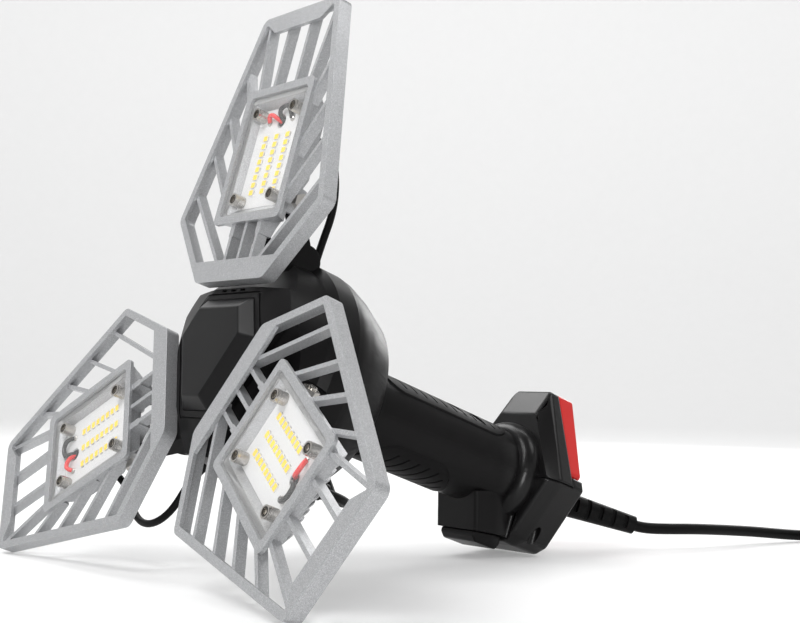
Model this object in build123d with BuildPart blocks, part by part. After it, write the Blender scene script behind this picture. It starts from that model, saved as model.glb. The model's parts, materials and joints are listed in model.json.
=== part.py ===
from build123d import *
import os
from math import atan2, cos, degrees, pi, radians, sin, sqrt, tan

# A hand-held work light with a mains cord. Three finned and slatted LED heads hinge on
# fork arms round one hub. The light stands on two of its heads and on the foot of its handle.
# Lengths are in millimetres. The floor is the XY plane and the heads face the -Y side.
# Each head has a frame of its own: u runs out from the hub, v across the head and z
# out of the lens, so that a depth behind the front of the head is a negative z.
# The lamp's frame has its z along the handle and the hub, out through the button.

# Stance
head_angles = (90, 210, 330)
head_tilt = 2.8
tilt_forward = 5
tilt_back = 90
nominal_elevation = 20

# Head casting
head_length = 140
hub_edge_half = 29.5
shoulder_at = 34.7
shoulder_half = 63
tip_half = 32
head_corner = 5
rim_depth = 7.3
rim_wall = 2
rim_flange = 2
flange_width = 4
hub_plate = 10.8
tip_plate = 9.3
tip_plate_half = 19.5
slat = 2.1
head_reach = 32.35

# Lamp well in the head
bezel_start = 29.8
bezel_end = 100.1
bezel_half = 28.75
bezel_corner = 3
bezel_front = 0.4
bezel_back = 2.3
seat_margin = 4
seat_floor = 2.5
lens_thickness = 1.5
gasket_thickness = 0.4
well_mouth_half = 21.3
well_mouth_start = 35.4
well_mouth_end = 93.3
board_start = 38.8
board_end = 90.7
board_half = 19.4
board_front = 5.9
board_thickness = 1
body_start = 31
body_end = 98
body_half_front = 26
body_half_back = 21.2
body_back = 8.7

# Light emitting chips
chip_length = 2.6
chip_width = 3.3
chip_height = 0.7
chips_in_row = 8
chip_pitch = 4
chip_first = 46.9
chip_row_pitch = 9.5

# Cooling fins
fin = 1.6
fin_pitch = 4
fins_each_side = 5
fin_back = 16.5

# Head hinge
hinge_at = 42.5
hinge_depth = 14
bolt_diameter = 4
nut_across = 7
nut_height = 4
bolt_head_height = 3
lug_inner = 9.75
lug_outer = 13.25
ear_inner = 19
ear_outer = 21.2
ear_radius = 6.7
prong_gap = 0.3
eye_radius = 5
neck_half = 4

# Screws that hold the lamp board
screw_head = 6
screw_shank = 3
screw_start = 42.35
screw_end = 86.8
screw_half = 15.8
screw_front = 0.1
screw_tip = 8.4

small_head = 5.5

# Cable to a head
cable_diameter = 3.8
gland_at = 83
gland_height = 5.5
gland_radius = 4.4
wire_hole = 5.6
wire_diameter = 1.6

# Hub
hub_radius = 55.5
hub_wall = 2.5
panel_depth = 5
lobe_radius = 50
lobe_depth = 10
collar_depth = 31
seam_depth = 46
flat_distance = 30.5
flat_depth = 12.5
knuckle_reach = 52
knuckle_depth = 27
knuckle_radius = 8
root_reach = 43.7
root_depth = 35
dome_end = 86.5
dome_floor = 80
post_reach = 40
post_radius = 4
shoulder_depth = 25.5

# Push button
button_long = 25
button_short = 30.3
button_face_long = 19
button_face_short = 24.5
button_front = 0.3
button_corner = 2
button_travel = 1.5
button_skirt = 8
button_lip = 2
button_ceiling = 3
groove_long = 27.3
groove_short = 33.4
groove_width = 0.9
stem_radius = 3
switch_size = 12

# Handle
handle_radius = 22
handle_wall = 3.5
handle_end = 190
grip_start = 91
grip_end = 184
grip_depth = 1.4
grip_rise = 0.7
grip_half_angle = 52
grip_rib_pitch = 7
grip_rib_slot = 1.2
grip_rib_margin = 2.5

# Foot
collar_radius = 28
foot_front = 196
foot_bevel = 7
foot_end = 213
rest_end = 221
foot_bottom = 37
foot_bottom_half = 16
foot_top = 50
foot_top_half = 13.5
foot_widest = 39
foot_wall = 4
pad_thickness = 9
pad_lean = 3
pad_corner = 2.5
plate_bottom = 41.8
block_half = 16.5
block_front = 168
block_corner = 2.5

# Mains cord
cord_diameter = 6.2
relief_length = 62
relief_root = 7.6
relief_tip = 5
relief_lean = 28
relief_drop = 3
coil_turns_per_layer = 3.5
coil_gap = 0.7
coil_radius = 34
plug_neck = 27
plug_shoulder = 37
plug_length = 51
earth_pin_radius = 2.4
earth_pin_length = 19

# Fits
fit = 0.05
clearance = 0.15


def support(corner, rounding, direction):
    """The point of a rounded corner that reaches furthest along a direction"""
    return corner + direction.normalized() * rounding


def rounded_tip_centre():
    """Centre of the rounding at the tip corner of a head, in the head's own frame"""
    slope = (shoulder_half - tip_half) / (head_length - shoulder_at)
    lean = atan2(slope, 1)
    return Vector(
        head_length - head_corner,
        tip_half + head_corner * slope - head_corner / cos(lean),
        -rim_depth,
    )


def head_frame_in_lamp(angle, tilt=head_tilt):
    """Plane of a head in the lamp's frame, hub edge at its origin"""
    out = Vector(cos(radians(angle)), sin(radians(angle)), 0)
    axis = Vector(0, 0, 1)
    along = out * cos(radians(tilt)) + axis * sin(radians(tilt))
    front = axis * cos(radians(tilt)) - out * sin(radians(tilt))
    return Plane(origin=out * head_reach, x_dir=along, z_dir=front)


# The two lower heads touch the floor with a rounded tip corner each, and the foot with the
# back edge of its bottom. Both together set how high the handle's axis rises to the front.
down = Vector(0, -cos(radians(nominal_elevation)), -sin(radians(nominal_elevation)))
lower_head = head_frame_in_lamp(head_angles[1])
down_in_head = lower_head.to_local_coords(lower_head.origin + down)
tip_touch = lower_head.from_local_coords(
    support(rounded_tip_centre(), head_corner, Vector(down_in_head.X, down_in_head.Y, 0))
)
elevation = degrees(atan2(-tip_touch.Y - foot_bottom, rest_end + tip_touch.Z))
axis_height = -tip_touch.Y * cos(radians(elevation)) - tip_touch.Z * sin(radians(elevation))
stand_back = 109.745

lamp = Plane(
    origin=(0, -stand_back, axis_height),
    x_dir=(1, 0, 0),
    z_dir=(0, -cos(radians(elevation)), sin(radians(elevation))),
)
profile = Plane(lamp.origin, x_dir=lamp.x_dir, z_dir=-lamp.y_dir)
flank = Plane(lamp.origin, x_dir=lamp.y_dir, z_dir=lamp.x_dir)
lamp_axis = Axis(lamp.origin, lamp.z_dir)


def head_plane(angle):
    """Plane of a head where it stands"""
    local = head_frame_in_lamp(angle)
    origin = lamp.from_local_coords(local.origin)
    return Plane(
        origin,
        x_dir=lamp.from_local_coords(local.origin + local.x_dir) - origin,
        z_dir=lamp.from_local_coords(local.origin + local.z_dir) - origin,
    )


def radial_plane(angle):
    """Plane through the lamp's axis at an angle round it: x outwards, y along the axis"""
    out = lamp.x_dir * cos(radians(angle)) + lamp.y_dir * sin(radians(angle))
    across = lamp.y_dir * cos(radians(angle)) - lamp.x_dir * sin(radians(angle))
    return Plane(lamp.origin, x_dir=out, z_dir=-across)


os.makedirs("parts", exist_ok=True)


def save(part, name):
    """Labels a finished piece and writes its file"""
    part.label = name
    export_step(part, f"parts/{name}.step")


def place(template, name, plane):
    """Writes a piece that was made in a head's own frame where that head stands"""
    with BuildPart() as piece:
        with Locations(plane.location):
            add(template.part)
    save(piece.part, name)


def outward_plane(angle):
    """Plane across the way out from the lamp's axis: x along the axis"""
    radial = radial_plane(angle)
    return Plane(lamp.origin, x_dir=lamp.z_dir, z_dir=radial.x_dir)


def bar(start, end, width, overrun_start=0, overrun_end=0):
    """Adds a straight bar between two points to the sketch in progress"""
    run = (Vector(*end) - Vector(*start)).normalized()
    first = Vector(*start) - run * overrun_start
    last = Vector(*end) + run * overrun_end
    with Locations((first + last) / 2):
        Rectangle((last - first).length, width, rotation=degrees(atan2(run.Y, run.X)))


def lobed(long_distance, short_distance):
    """Corners of a six-sided outline with long sides facing the heads"""
    half = (short_distance - long_distance / 2) / cos(radians(30))
    corners = []
    for turn in (0, 120, 240):
        for side in (half, -half):
            corners.append(Vector(side, long_distance).rotate(Axis.Z, turn))
    return corners


# Head casting: rim, slats, bezel, body and fins as one piece
head_corners = [
    (0, -hub_edge_half),
    (0, hub_edge_half),
    (shoulder_at, shoulder_half),
    (head_length, tip_half),
    (head_length, -tip_half),
    (shoulder_at, -shoulder_half),
]

with BuildSketch() as head_shape:
    with BuildLine():
        Polyline(*head_corners, close=True)
    make_face()
    fillet(head_shape.vertices(), head_corner)

with BuildSketch() as wall_shape:
    add(head_shape.sketch)
    offset(amount=-rim_wall)

with BuildSketch() as window_shape:
    add(head_shape.sketch)
    offset(amount=-flange_width)
    with Locations((hub_plate / 2, 0)):
        Rectangle(hub_plate, 2 * shoulder_half, mode=Mode.SUBTRACT)
    with BuildLine():
        Polyline(
            (head_length, tip_half),
            (head_length - flange_width, tip_plate_half + 2 * flange_width),
            (head_length - tip_plate, tip_plate_half),
            (head_length - tip_plate, -tip_plate_half),
            (head_length - flange_width, -tip_plate_half - 2 * flange_width),
            (head_length, -tip_half),
            close=True,
        )
    make_face(mode=Mode.SUBTRACT)

with BuildSketch() as slat_shape:
    bar((hub_plate, 0), (bezel_start, 0), slat, hub_plate - rim_wall / 2, 3)
    for side in (1, -1):
        bar((hub_plate, 11.5 * side), (bezel_start, 11.5 * side), slat, hub_plate - 1, 3)
        bar((hub_plate, 18.3 * side), (47.5, 55 * side), slat, 12, 4)
        bar((45.5, 29.5 * side), (68.5, 48.9 * side), slat, 8, 4)
        bar((68.5, 29.7 * side), (87.5, 43.2 * side), slat, 8, 4)
        bar((93, 28.75 * side), (110.5, 37.5 * side), slat, 6, 4)
        bar((bezel_end, 22 * side), (136, 28.5 * side), slat, 5, 4)
        bar((bezel_end, 9.3 * side), (head_length - tip_plate, 9.3 * side), slat, 5, 9)
    with BuildSketch(mode=Mode.INTERSECT):
        add(head_shape.sketch)
        offset(amount=-rim_wall / 2)

with BuildPart() as fin_block:
    with BuildSketch(Plane.XZ):
        with BuildLine():
            Polyline(
                (38.4, -body_back + 1),
                (38.4, -10.1),
                (54.3, -fin_back),
                (88.6, -fin_back),
                (body_end, -body_back),
                (body_end, -body_back + 1),
                close=True,
            )
        make_face()
    extrude(amount=fins_each_side * fin_pitch + fin / 2, both=True)
    with Locations((0, 0, -fin_back)):
        with GridLocations(1, fin_pitch, 1, 2 * fins_each_side):
            Box(4 * head_length, fin_pitch - fin, 4 * fin_back, mode=Mode.SUBTRACT)

bezel_mid = (bezel_start + bezel_end) / 2
board_mid = (board_start + board_end) / 2
well_mid = (well_mouth_start + well_mouth_end) / 2
screw_spots = [(u, v) for u in (screw_start, screw_end) for v in (screw_half, -screw_half)]

with BuildPart() as casting:
    with BuildSketch():
        add(head_shape.sketch)
    extrude(amount=-rim_depth)
    with BuildSketch(Plane.XY.offset(-rim_flange)):
        add(wall_shape.sketch)
    extrude(amount=-rim_depth, mode=Mode.SUBTRACT)
    with BuildSketch():
        add(window_shape.sketch)
    extrude(amount=-rim_flange, mode=Mode.SUBTRACT)
    with BuildSketch(Plane.XY.offset(-rim_flange)):
        add(slat_shape.sketch)
    extrude(amount=-(rim_depth - rim_flange))
    with BuildSketch(Plane.XY.offset(-bezel_front)):
        with Locations((bezel_mid, 0)):
            RectangleRounded(bezel_end - bezel_start, 2 * bezel_half, bezel_corner)
    extrude(amount=-(bezel_back - bezel_front))
    with BuildSketch(Plane.YZ.offset(body_start)):
        with BuildLine():
            Polyline(
                (-body_half_front, -bezel_back),
                (body_half_front, -bezel_back),
                (body_half_back, -body_back),
                (-body_half_back, -body_back),
                close=True,
            )
        make_face()
    extrude(amount=body_end - body_start)
    add(fin_block.part)
    # Boss that the cable gland stands on
    with BuildSketch(Plane.XY.offset(-body_back + 1)):
        with Locations((gland_at, 0)):
            Circle(gland_radius + 1.5)
    extrude(amount=-(fin_back - body_back + 1))
    # Inner lugs, from the ribs at the hub edge to the hinge
    for side in (1, -1):
        with BuildSketch(Plane.XZ.offset(-side * (lug_inner + lug_outer) / 2)):
            with BuildLine():
                Polyline(
                    (23.5, -rim_flange),
                    (32, -rim_flange),
                    (32, -body_back + 1),
                    (56, -body_back + 1),
                    (54.3, -fin_back),
                    (hinge_at, -fin_back - 1),
                    (36, -13.4),
                    (28.4, -10.4),
                    (23.5, -9),
                    close=True,
                )
            make_face()
            with Locations((hinge_at, -hinge_depth)):
                Circle(eye_radius - 1)
        extrude(amount=(lug_outer - lug_inner) / 2, both=True)
        # Pocket beside the lug for a prong of the fork arm
        with BuildSketch(Plane.XZ.offset(-side * (lug_outer + ear_inner) / 2)):
            with Locations((hinge_at - 2, -body_back - fin_back / 2)):
                Rectangle(21, fin_back)
        extrude(amount=(ear_inner - lug_outer) / 2, both=True, mode=Mode.SUBTRACT)
        # Outer ear round the hinge
        with BuildSketch(Plane.XZ.offset(-side * (ear_inner + ear_outer) / 2)):
            with Locations((hinge_at, -hinge_depth)):
                Circle(ear_radius)
            with Locations((hinge_at, -(hinge_depth + body_back - 1) / 2)):
                Rectangle(2 * ear_radius, hinge_depth - body_back + 1)
        extrude(amount=(ear_outer - ear_inner) / 2, both=True)
    with BuildSketch(Plane.XZ):
        with Locations((hinge_at, -hinge_depth)):
            Circle(bolt_diameter / 2 + fit)
    extrude(amount=2 * ear_outer, both=True, mode=Mode.SUBTRACT)
    # Seat for the lens, then the well down to the board
    with BuildSketch():
        with Locations((bezel_mid, 0)):
            RectangleRounded(
                bezel_end - bezel_start - 2 * seat_margin,
                2 * (bezel_half - seat_margin),
                bezel_corner - 0.5,
            )
    extrude(amount=-seat_floor, mode=Mode.SUBTRACT)
    with BuildSketch(Plane.XY.offset(-seat_floor)):
        with Locations((well_mid, 0)):
            Rectangle(well_mouth_end - well_mouth_start, 2 * well_mouth_half)
    with BuildSketch(Plane.XY.offset(-board_front)):
        with Locations((board_mid, 0)):
            Rectangle(board_end - board_start, 2 * board_half)
    loft(mode=Mode.SUBTRACT)
    with BuildSketch(Plane.XY.offset(-board_front)):
        with Locations((board_mid, 0)):
            Rectangle(board_end - board_start, 2 * board_half)
    extrude(amount=-board_thickness, mode=Mode.SUBTRACT)
    with BuildSketch(Plane.XY.offset(-board_front)):
        with Locations(*screw_spots):
            Circle(screw_shank / 2)
    extrude(amount=-(screw_tip - board_front), mode=Mode.SUBTRACT)
    with BuildSketch(Plane.XY.offset(-board_front)):
        with Locations((gland_at, 0)):
            Circle(wire_hole / 2)
    extrude(amount=-2 * fin_back, mode=Mode.SUBTRACT)

with BuildPart() as gasket:
    with BuildSketch(Plane.XY.offset(-seat_floor)):
        with Locations((bezel_mid, 0)):
            RectangleRounded(
                bezel_end - bezel_start - 2 * (seat_margin + clearance),
                2 * (bezel_half - seat_margin - clearance),
                bezel_corner - 0.5 - clearance,
            )
        with Locations((well_mid, 0)):
            Rectangle(
                well_mouth_end - well_mouth_start, 2 * well_mouth_half, mode=Mode.SUBTRACT
            )
    extrude(amount=gasket_thickness)

with BuildPart() as lens:
    with BuildSketch(Plane.XY.offset(-seat_floor + gasket_thickness)):
        with Locations((bezel_mid, 0)):
            RectangleRounded(
                bezel_end - bezel_start - 2 * (seat_margin + clearance),
                2 * (bezel_half - seat_margin - clearance),
                bezel_corner - 0.5 - clearance,
            )
        with Locations(*screw_spots):
            Circle(screw_head / 2 + clearance, mode=Mode.SUBTRACT)
    extrude(amount=lens_thickness)

with BuildPart() as led_board:
    with BuildSketch(Plane.XY.offset(-board_front)):
        with Locations((board_mid, 0)):
            Rectangle(
                board_end - board_start - 2 * clearance, 2 * (board_half - clearance)
            )
        with Locations(*screw_spots):
            Circle(screw_shank / 2 + clearance, mode=Mode.SUBTRACT)
        with Locations((gland_at, 0)):
            Circle(wire_hole / 2 + 0.6, mode=Mode.SUBTRACT)
    extrude(amount=-board_thickness)

with BuildPart() as led_chips:
    with BuildSketch(Plane.XY.offset(-board_front)):
        with Locations((chip_first + (chips_in_row - 1) * chip_pitch / 2, 0)):
            with GridLocations(chip_pitch, chip_row_pitch, chips_in_row, 3):
                Rectangle(chip_length, chip_width)
    extrude(amount=chip_height)

with BuildPart() as board_screws:
    with BuildSketch(Plane.XY.offset(-board_front)):
        with Locations(*screw_spots):
            Circle(screw_head / 2)
    extrude(amount=board_front - screw_front)
    with BuildSketch(Plane.XY.offset(-board_front)):
        with Locations(*screw_spots):
            Circle(screw_shank / 2)
    extrude(amount=-(screw_tip - board_front))
    with BuildSketch(Plane.XY.offset(-screw_front)):
        with Locations(*screw_spots):
            RegularPolygon(1.5, 6, major_radius=False)
    extrude(amount=-1.8, mode=Mode.SUBTRACT)

with BuildPart() as board_wires:
    for side in (1, -1):
        with BuildLine() as wire_path:
            ThreePointArc(
                (gland_at + 0.3, 1.1 * side, -board_front - 0.8),
                (gland_at + 4.2, 4.6 * side, -board_front + 2.6),
                (gland_at, 8.6 * side, -board_front + 1.1),
            )
        with BuildSketch(Plane(wire_path.line @ 0, z_dir=wire_path.line % 0)):
            Circle(wire_diameter / 2)
        sweep(path=wire_path.line)

with BuildPart() as hinge_bolt:
    with BuildSketch(Plane.XZ.offset(ear_outer)):
        with Locations((hinge_at, -hinge_depth)):
            Circle(bolt_diameter / 2)
    extrude(amount=-(2 * ear_outer + nut_height + 1))
    with BuildSketch(Plane.XZ.offset(ear_outer)):
        with Locations((hinge_at, -hinge_depth)):
            RegularPolygon(nut_across / 2, 6, major_radius=False)
    extrude(amount=bolt_head_height)

with BuildPart() as hinge_nut:
    with BuildSketch(Plane.XZ.offset(-ear_outer)):
        with Locations((hinge_at, -hinge_depth)):
            RegularPolygon(nut_across / 2, 6, major_radius=False)
            Circle(bolt_diameter / 2 + fit, mode=Mode.SUBTRACT)
    extrude(amount=-nut_height)

with BuildPart() as cable_gland:
    with BuildSketch(Plane.XY.offset(-fin_back)):
        with Locations((gland_at, 0)):
            Circle(gland_radius)
    extrude(amount=-gland_height * 0.45)
    with BuildSketch(Plane.XY.offset(-fin_back - gland_height * 0.45)):
        with Locations((gland_at, 0)):
            Circle(gland_radius * 0.8)
    extrude(amount=-gland_height * 0.55)
    with BuildSketch(Plane.XY.offset(-fin_back)):
        with Locations((gland_at, 0)):
            Circle(cable_diameter / 2 + fit)
    extrude(amount=-gland_height, mode=Mode.SUBTRACT)
    fillet(cable_gland.edges().group_by(Axis.Z)[0].filter_by(GeomType.CIRCLE)[-1], 0.8)

templates = {
    "casting": casting,
    "lens": lens,
    "gasket": gasket,
    "led_board": led_board,
    "led_chips": led_chips,
    "board_screws": board_screws,
    "board_wires": board_wires,
    "hinge_bolt": hinge_bolt,
    "hinge_nut": hinge_nut,
    "cable_gland": cable_gland,
}
for number, angle in enumerate(head_angles, 1):
    for name, template in templates.items():
        place(template, f"head_{number}_{name}", head_plane(angle))

# Fork arms between the hub and the heads, each held by two screws from inside the hub
arm_screw_spots = ((-31, 12), (-31, -12))
arm_screw_grip = 7
hinge = head_frame_in_lamp(0).from_local_coords(Vector(hinge_at, 0, -hinge_depth))
prong_inner = lug_outer + prong_gap
arm_half = ear_inner - prong_gap
crotch_reach = knuckle_reach + 6.5

for number, angle in enumerate(head_angles, 1):
    with BuildPart() as arm:
        with BuildSketch(radial_plane(angle)):
            with Locations((hinge.X, hinge.Z)):
                Circle(eye_radius)
            with Locations((knuckle_reach, -knuckle_depth)):
                Circle(knuckle_radius)
            bar((hinge.X, hinge.Z), (knuckle_reach, -knuckle_depth), 2 * neck_half)
            with Locations((root_reach, -root_depth)):
                Rectangle(
                    knuckle_reach - root_reach,
                    root_depth - knuckle_depth + 5,
                    align=(Align.MIN, Align.MIN),
                )
        extrude(amount=arm_half, both=True)
        with BuildSketch(radial_plane(angle)):
            with Locations((crotch_reach, hinge.Z)):
                Rectangle(60, 60, align=(Align.MIN, Align.CENTER))
        extrude(amount=prong_inner, both=True, mode=Mode.SUBTRACT)
        with BuildSketch(radial_plane(angle)):
            with Locations((hinge.X, hinge.Z)):
                Circle(bolt_diameter / 2 + fit)
        extrude(amount=arm_half, both=True, mode=Mode.SUBTRACT)
        with BuildSketch(outward_plane(angle).offset(root_reach)):
            with Locations(*arm_screw_spots):
                Circle(screw_shank / 2)
        extrude(amount=arm_screw_grip, mode=Mode.SUBTRACT)
    save(arm.part, f"arm_{number}")

with BuildPart() as arm_screws:
    for angle in head_angles:
        with BuildSketch(outward_plane(angle).offset(root_reach - hub_wall)):
            with Locations(*arm_screw_spots):
                Circle(screw_shank / 2)
        extrude(amount=hub_wall + arm_screw_grip - 0.5)
        with BuildSketch(outward_plane(angle).offset(root_reach - hub_wall)):
            with Locations(*arm_screw_spots):
                Circle(small_head / 2)
        extrude(amount=-2)
save(arm_screws.part, "arm_screws")


# Hub
def hub_block(inset):
    """Front part of the hub as a solid, with every wall moved in by an inset"""
    with BuildPart() as block:
        with BuildSketch(profile):
            with BuildLine():
                Polyline(
                    (0, -panel_depth - inset),
                    (button_short + 4, -panel_depth - inset),
                    (lobe_radius - inset, -lobe_depth - inset),
                    (knuckle_reach - inset, -collar_depth),
                    (hub_radius - inset, -root_depth - inset / 2),
                    (hub_radius - inset, -seam_depth),
                    (0, -seam_depth),
                    close=True,
                )
            make_face()
        revolve(axis=lamp_axis)
        for angle in head_angles:
            with BuildSketch(radial_plane(angle)):
                with BuildLine():
                    Polyline(
                        (flat_distance - inset, hub_radius),
                        (flat_distance - inset, -flat_depth - inset),
                        (lobe_radius - inset, -22 - inset),
                        (2 * hub_radius, -22 - inset),
                        (2 * hub_radius, hub_radius),
                        close=True,
                    )
                make_face()
            extrude(amount=2 * hub_radius, both=True, mode=Mode.SUBTRACT)
            with BuildSketch(radial_plane(angle)):
                with Locations((root_reach - inset, -root_depth - inset)):
                    Rectangle(hub_radius, hub_radius, align=(Align.MIN, Align.MIN))
            extrude(amount=arm_half + clearance + inset, both=True, mode=Mode.SUBTRACT)
    return block


post_angles = [angle - 60 for angle in head_angles]
post_spots = [
    (post_reach * cos(radians(angle)), post_reach * sin(radians(angle)))
    for angle in post_angles
]
lead_offsets = (-5, 22.5, -6)
lead_depth = 40.5

hub_outer = hub_block(0)
hub_inner = hub_block(hub_wall)
hub_posts_limit = hub_block(1)

with BuildPart() as hub_posts:
    with BuildSketch(lamp.offset(-panel_depth - 1)):
        with Locations(*post_spots):
            Circle(post_radius + 1)
    extrude(amount=-(shoulder_depth - panel_depth - 1))
    with BuildSketch(lamp.offset(-shoulder_depth)):
        with Locations(*post_spots):
            Circle(post_radius)
    extrude(amount=-(seam_depth - shoulder_depth))
    add(hub_posts_limit.part, mode=Mode.INTERSECT)

with BuildPart() as hub_front_shell:
    add(hub_outer.part)
    add(hub_inner.part, mode=Mode.SUBTRACT)
    add(hub_posts.part)
    with BuildSketch(lamp) as button_opening:
        with BuildLine():
            Polyline(*lobed(button_long + clearance, button_short + clearance), close=True)
        make_face()
        fillet(button_opening.vertices(), button_corner)
    extrude(amount=-(panel_depth + 2 * hub_wall), mode=Mode.SUBTRACT)
    with BuildSketch(lamp.offset(-panel_depth)):
        with BuildLine():
            Polyline(*lobed(groove_long + groove_width, groove_short + groove_width), close=True)
        make_face()
        with BuildLine():
            Polyline(*lobed(groove_long, groove_short), close=True)
        make_face(mode=Mode.SUBTRACT)
    extrude(amount=-1, mode=Mode.SUBTRACT)
    with BuildSketch(lamp.offset(-panel_depth)):
        with Locations(*[(x, groove_long + groove_width + 1.1) for x in (-8, 0, 8)]):
            SlotOverall(4.4, 1.2)
    extrude(amount=-1.6, mode=Mode.SUBTRACT)
    with BuildSketch(lamp.offset(-seam_depth)):
        with Locations(*post_spots):
            Circle(screw_shank / 2)
    extrude(amount=12, mode=Mode.SUBTRACT)
    for angle, offset_across in zip(head_angles, lead_offsets):
        with BuildSketch(outward_plane(angle)):
            with Locations((-lead_depth, -offset_across)):
                Circle(cable_diameter / 2 + fit)
        extrude(amount=2 * hub_radius, mode=Mode.SUBTRACT)
        with BuildSketch(outward_plane(angle)):
            with Locations(*arm_screw_spots):
                Circle(screw_shank / 2 + fit)
        extrude(amount=2 * hub_radius, mode=Mode.SUBTRACT)
save(hub_front_shell.part, "hub_front_shell")

with BuildPart() as hub_rear_shell:
    with BuildSketch(profile):
        with BuildLine():
            Polyline(
                (hub_radius, -seam_depth),
                (54.8, -50.6),
                (51.5, -60),
                (44.9, -73.2),
                (36.4, -79.5),
                (24, -dome_end + 0.6),
                (handle_radius + fit, -dome_end),
                (handle_radius + fit, -dome_floor),
                (30, -dome_floor),
                (35, -77.2),
                (42.8, -71.8),
                (49.2, -59),
                (52.4, -50.2),
                (hub_radius - hub_wall, -seam_depth),
                close=True,
            )
        make_face()
        with Locations((hub_radius - hub_wall - clearance, -seam_depth - 3)):
            Rectangle(2, 6, align=(Align.MAX, Align.MIN))
    revolve(axis=lamp_axis)
    with BuildSketch(lamp.offset(-seam_depth)):
        with Locations(*post_spots):
            Circle(post_radius)
    extrude(amount=-26)
    with BuildSketch(lamp.offset(-seam_depth - 12)):
        with Locations(*post_spots):
            Circle(post_radius - 1)
    extrude(amount=-40, mode=Mode.SUBTRACT)
    with BuildSketch(lamp.offset(-seam_depth)):
        with Locations(*post_spots):
            Circle(screw_shank / 2 + fit)
    extrude(amount=-20, mode=Mode.SUBTRACT)
save(hub_rear_shell.part, "hub_rear_shell")

with BuildPart() as hub_screws:
    with BuildSketch(lamp.offset(-seam_depth - 12)):
        with Locations(*post_spots):
            Circle(small_head / 2)
    extrude(amount=-2.6)
    with BuildSketch(lamp.offset(-seam_depth - 12)):
        with Locations(*post_spots):
            Circle(screw_shank / 2)
    extrude(amount=23)
save(hub_screws.part, "hub_screws")

# Push button with its stem, spring and the switch on the driver board
with BuildPart() as power_button:
    with BuildSketch(lamp.offset(-panel_depth + 0.2)) as button_base:
        with BuildLine():
            Polyline(*lobed(button_long, button_short), close=True)
        make_face()
        fillet(button_base.vertices(), button_corner)
    with BuildSketch(lamp.offset(button_front)) as button_face:
        with BuildLine():
            Polyline(*lobed(button_face_long, button_face_short), close=True)
        make_face()
        fillet(button_face.vertices(), button_corner)
    loft()
    with BuildSketch(lamp.offset(-panel_depth + 0.2)):
        add(button_base.sketch_local)
    extrude(amount=-(button_skirt - panel_depth + 0.2))
    with BuildSketch(lamp.offset(-panel_depth - hub_wall - fit)) as lip_shape:
        with BuildLine():
            Polyline(*lobed(button_long + button_lip, button_short + button_lip), close=True)
        make_face()
        fillet(lip_shape.vertices(), button_corner)
    extrude(amount=-button_lip)
    with BuildSketch(lamp.offset(-panel_depth - hub_wall - button_lip - fit)):
        with BuildLine():
            Polyline(*lobed(button_face_long, button_face_short), close=True)
        make_face()
    extrude(
        amount=panel_depth + hub_wall + button_lip + fit - button_ceiling,
        mode=Mode.SUBTRACT,
    )
    with BuildSketch(lamp.offset(-button_ceiling)):
        Circle(stem_radius)
    extrude(amount=-10)
save(power_button.part, "power_button")

switch_front = 17
with BuildPart() as driver_board:
    with BuildSketch(lamp.offset(-shoulder_depth)):
        with BuildLine():
            Polyline(*lobed(40.6, 45), close=True)
        make_face()
        Circle(46.5, mode=Mode.INTERSECT)
        with Locations(*post_spots):
            Circle(post_radius + clearance, mode=Mode.SUBTRACT)
    extrude(amount=-1.6)
    with BuildSketch(lamp.offset(-shoulder_depth)):
        Rectangle(switch_size, switch_size)
    extrude(amount=shoulder_depth - switch_front)
    with BuildSketch(lamp.offset(-switch_front)):
        Circle(2)
    extrude(amount=switch_front - button_ceiling - 10 - button_travel - clearance)
    with BuildSketch(lamp.offset(-shoulder_depth - 1.6)):
        with Locations((-16, 10), (-16, -4)):
            Circle(5)
        with Locations((14, -8)):
            Rectangle(18, 15)
        with Locations((4, 20)):
            Rectangle(24, 8)
    extrude(amount=-12)
save(driver_board.part, "driver_board")

spring_wire = 0.8
spring_turns = 4
spring_radius = 4.7
spring_length = switch_front - button_ceiling - spring_wire - 2 * clearance
with BuildPart() as button_spring:
    with BuildLine() as spring_path:
        Helix(
            spring_length / spring_turns,
            spring_length,
            spring_radius,
            center=lamp.from_local_coords(
                Vector(0, 0, -switch_front + spring_wire / 2 + clearance)
            ),
            direction=lamp.z_dir,
        )
    with BuildSketch(Plane(spring_path.line @ 0, z_dir=spring_path.line % 0)):
        Circle(spring_wire / 2)
    sweep(path=spring_path.line)
save(button_spring.part, "button_spring")

# Handle and foot, made whole and parted along the flat through the handle's axis
parting = Plane(lamp.origin, x_dir=lamp.x_dir, z_dir=lamp.y_dir)
rest_lip = 5.4
foot_flare = [
    (foot_top_half, foot_top),
    (foot_widest, 0),
    (22.5, -33),
    (foot_bottom_half, -foot_bottom),
]
pad_side = [
    (rest_lip, -foot_end),
    (foot_top, -foot_end + pad_lean),
    (foot_top, -foot_end - pad_thickness),
    (rest_lip, -foot_end - pad_thickness),
]
foot_face = [(13.8, 34.5), (35, 0), (20, -30.5), (15, -foot_bottom + 0.8)]
grip_lower_start = 95
grip_lower_end = 155
grip_lower_half_angle = 58
handle_screw_spots = (108, 138)
foot_screw_half = 24
foot_middle = (foot_front + foot_bevel + foot_end) / 2


def mirrored(points):
    """A closed outline from its right half, listed from the top down"""
    return points + [(-x, y) for x, y in reversed(points)]


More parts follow.
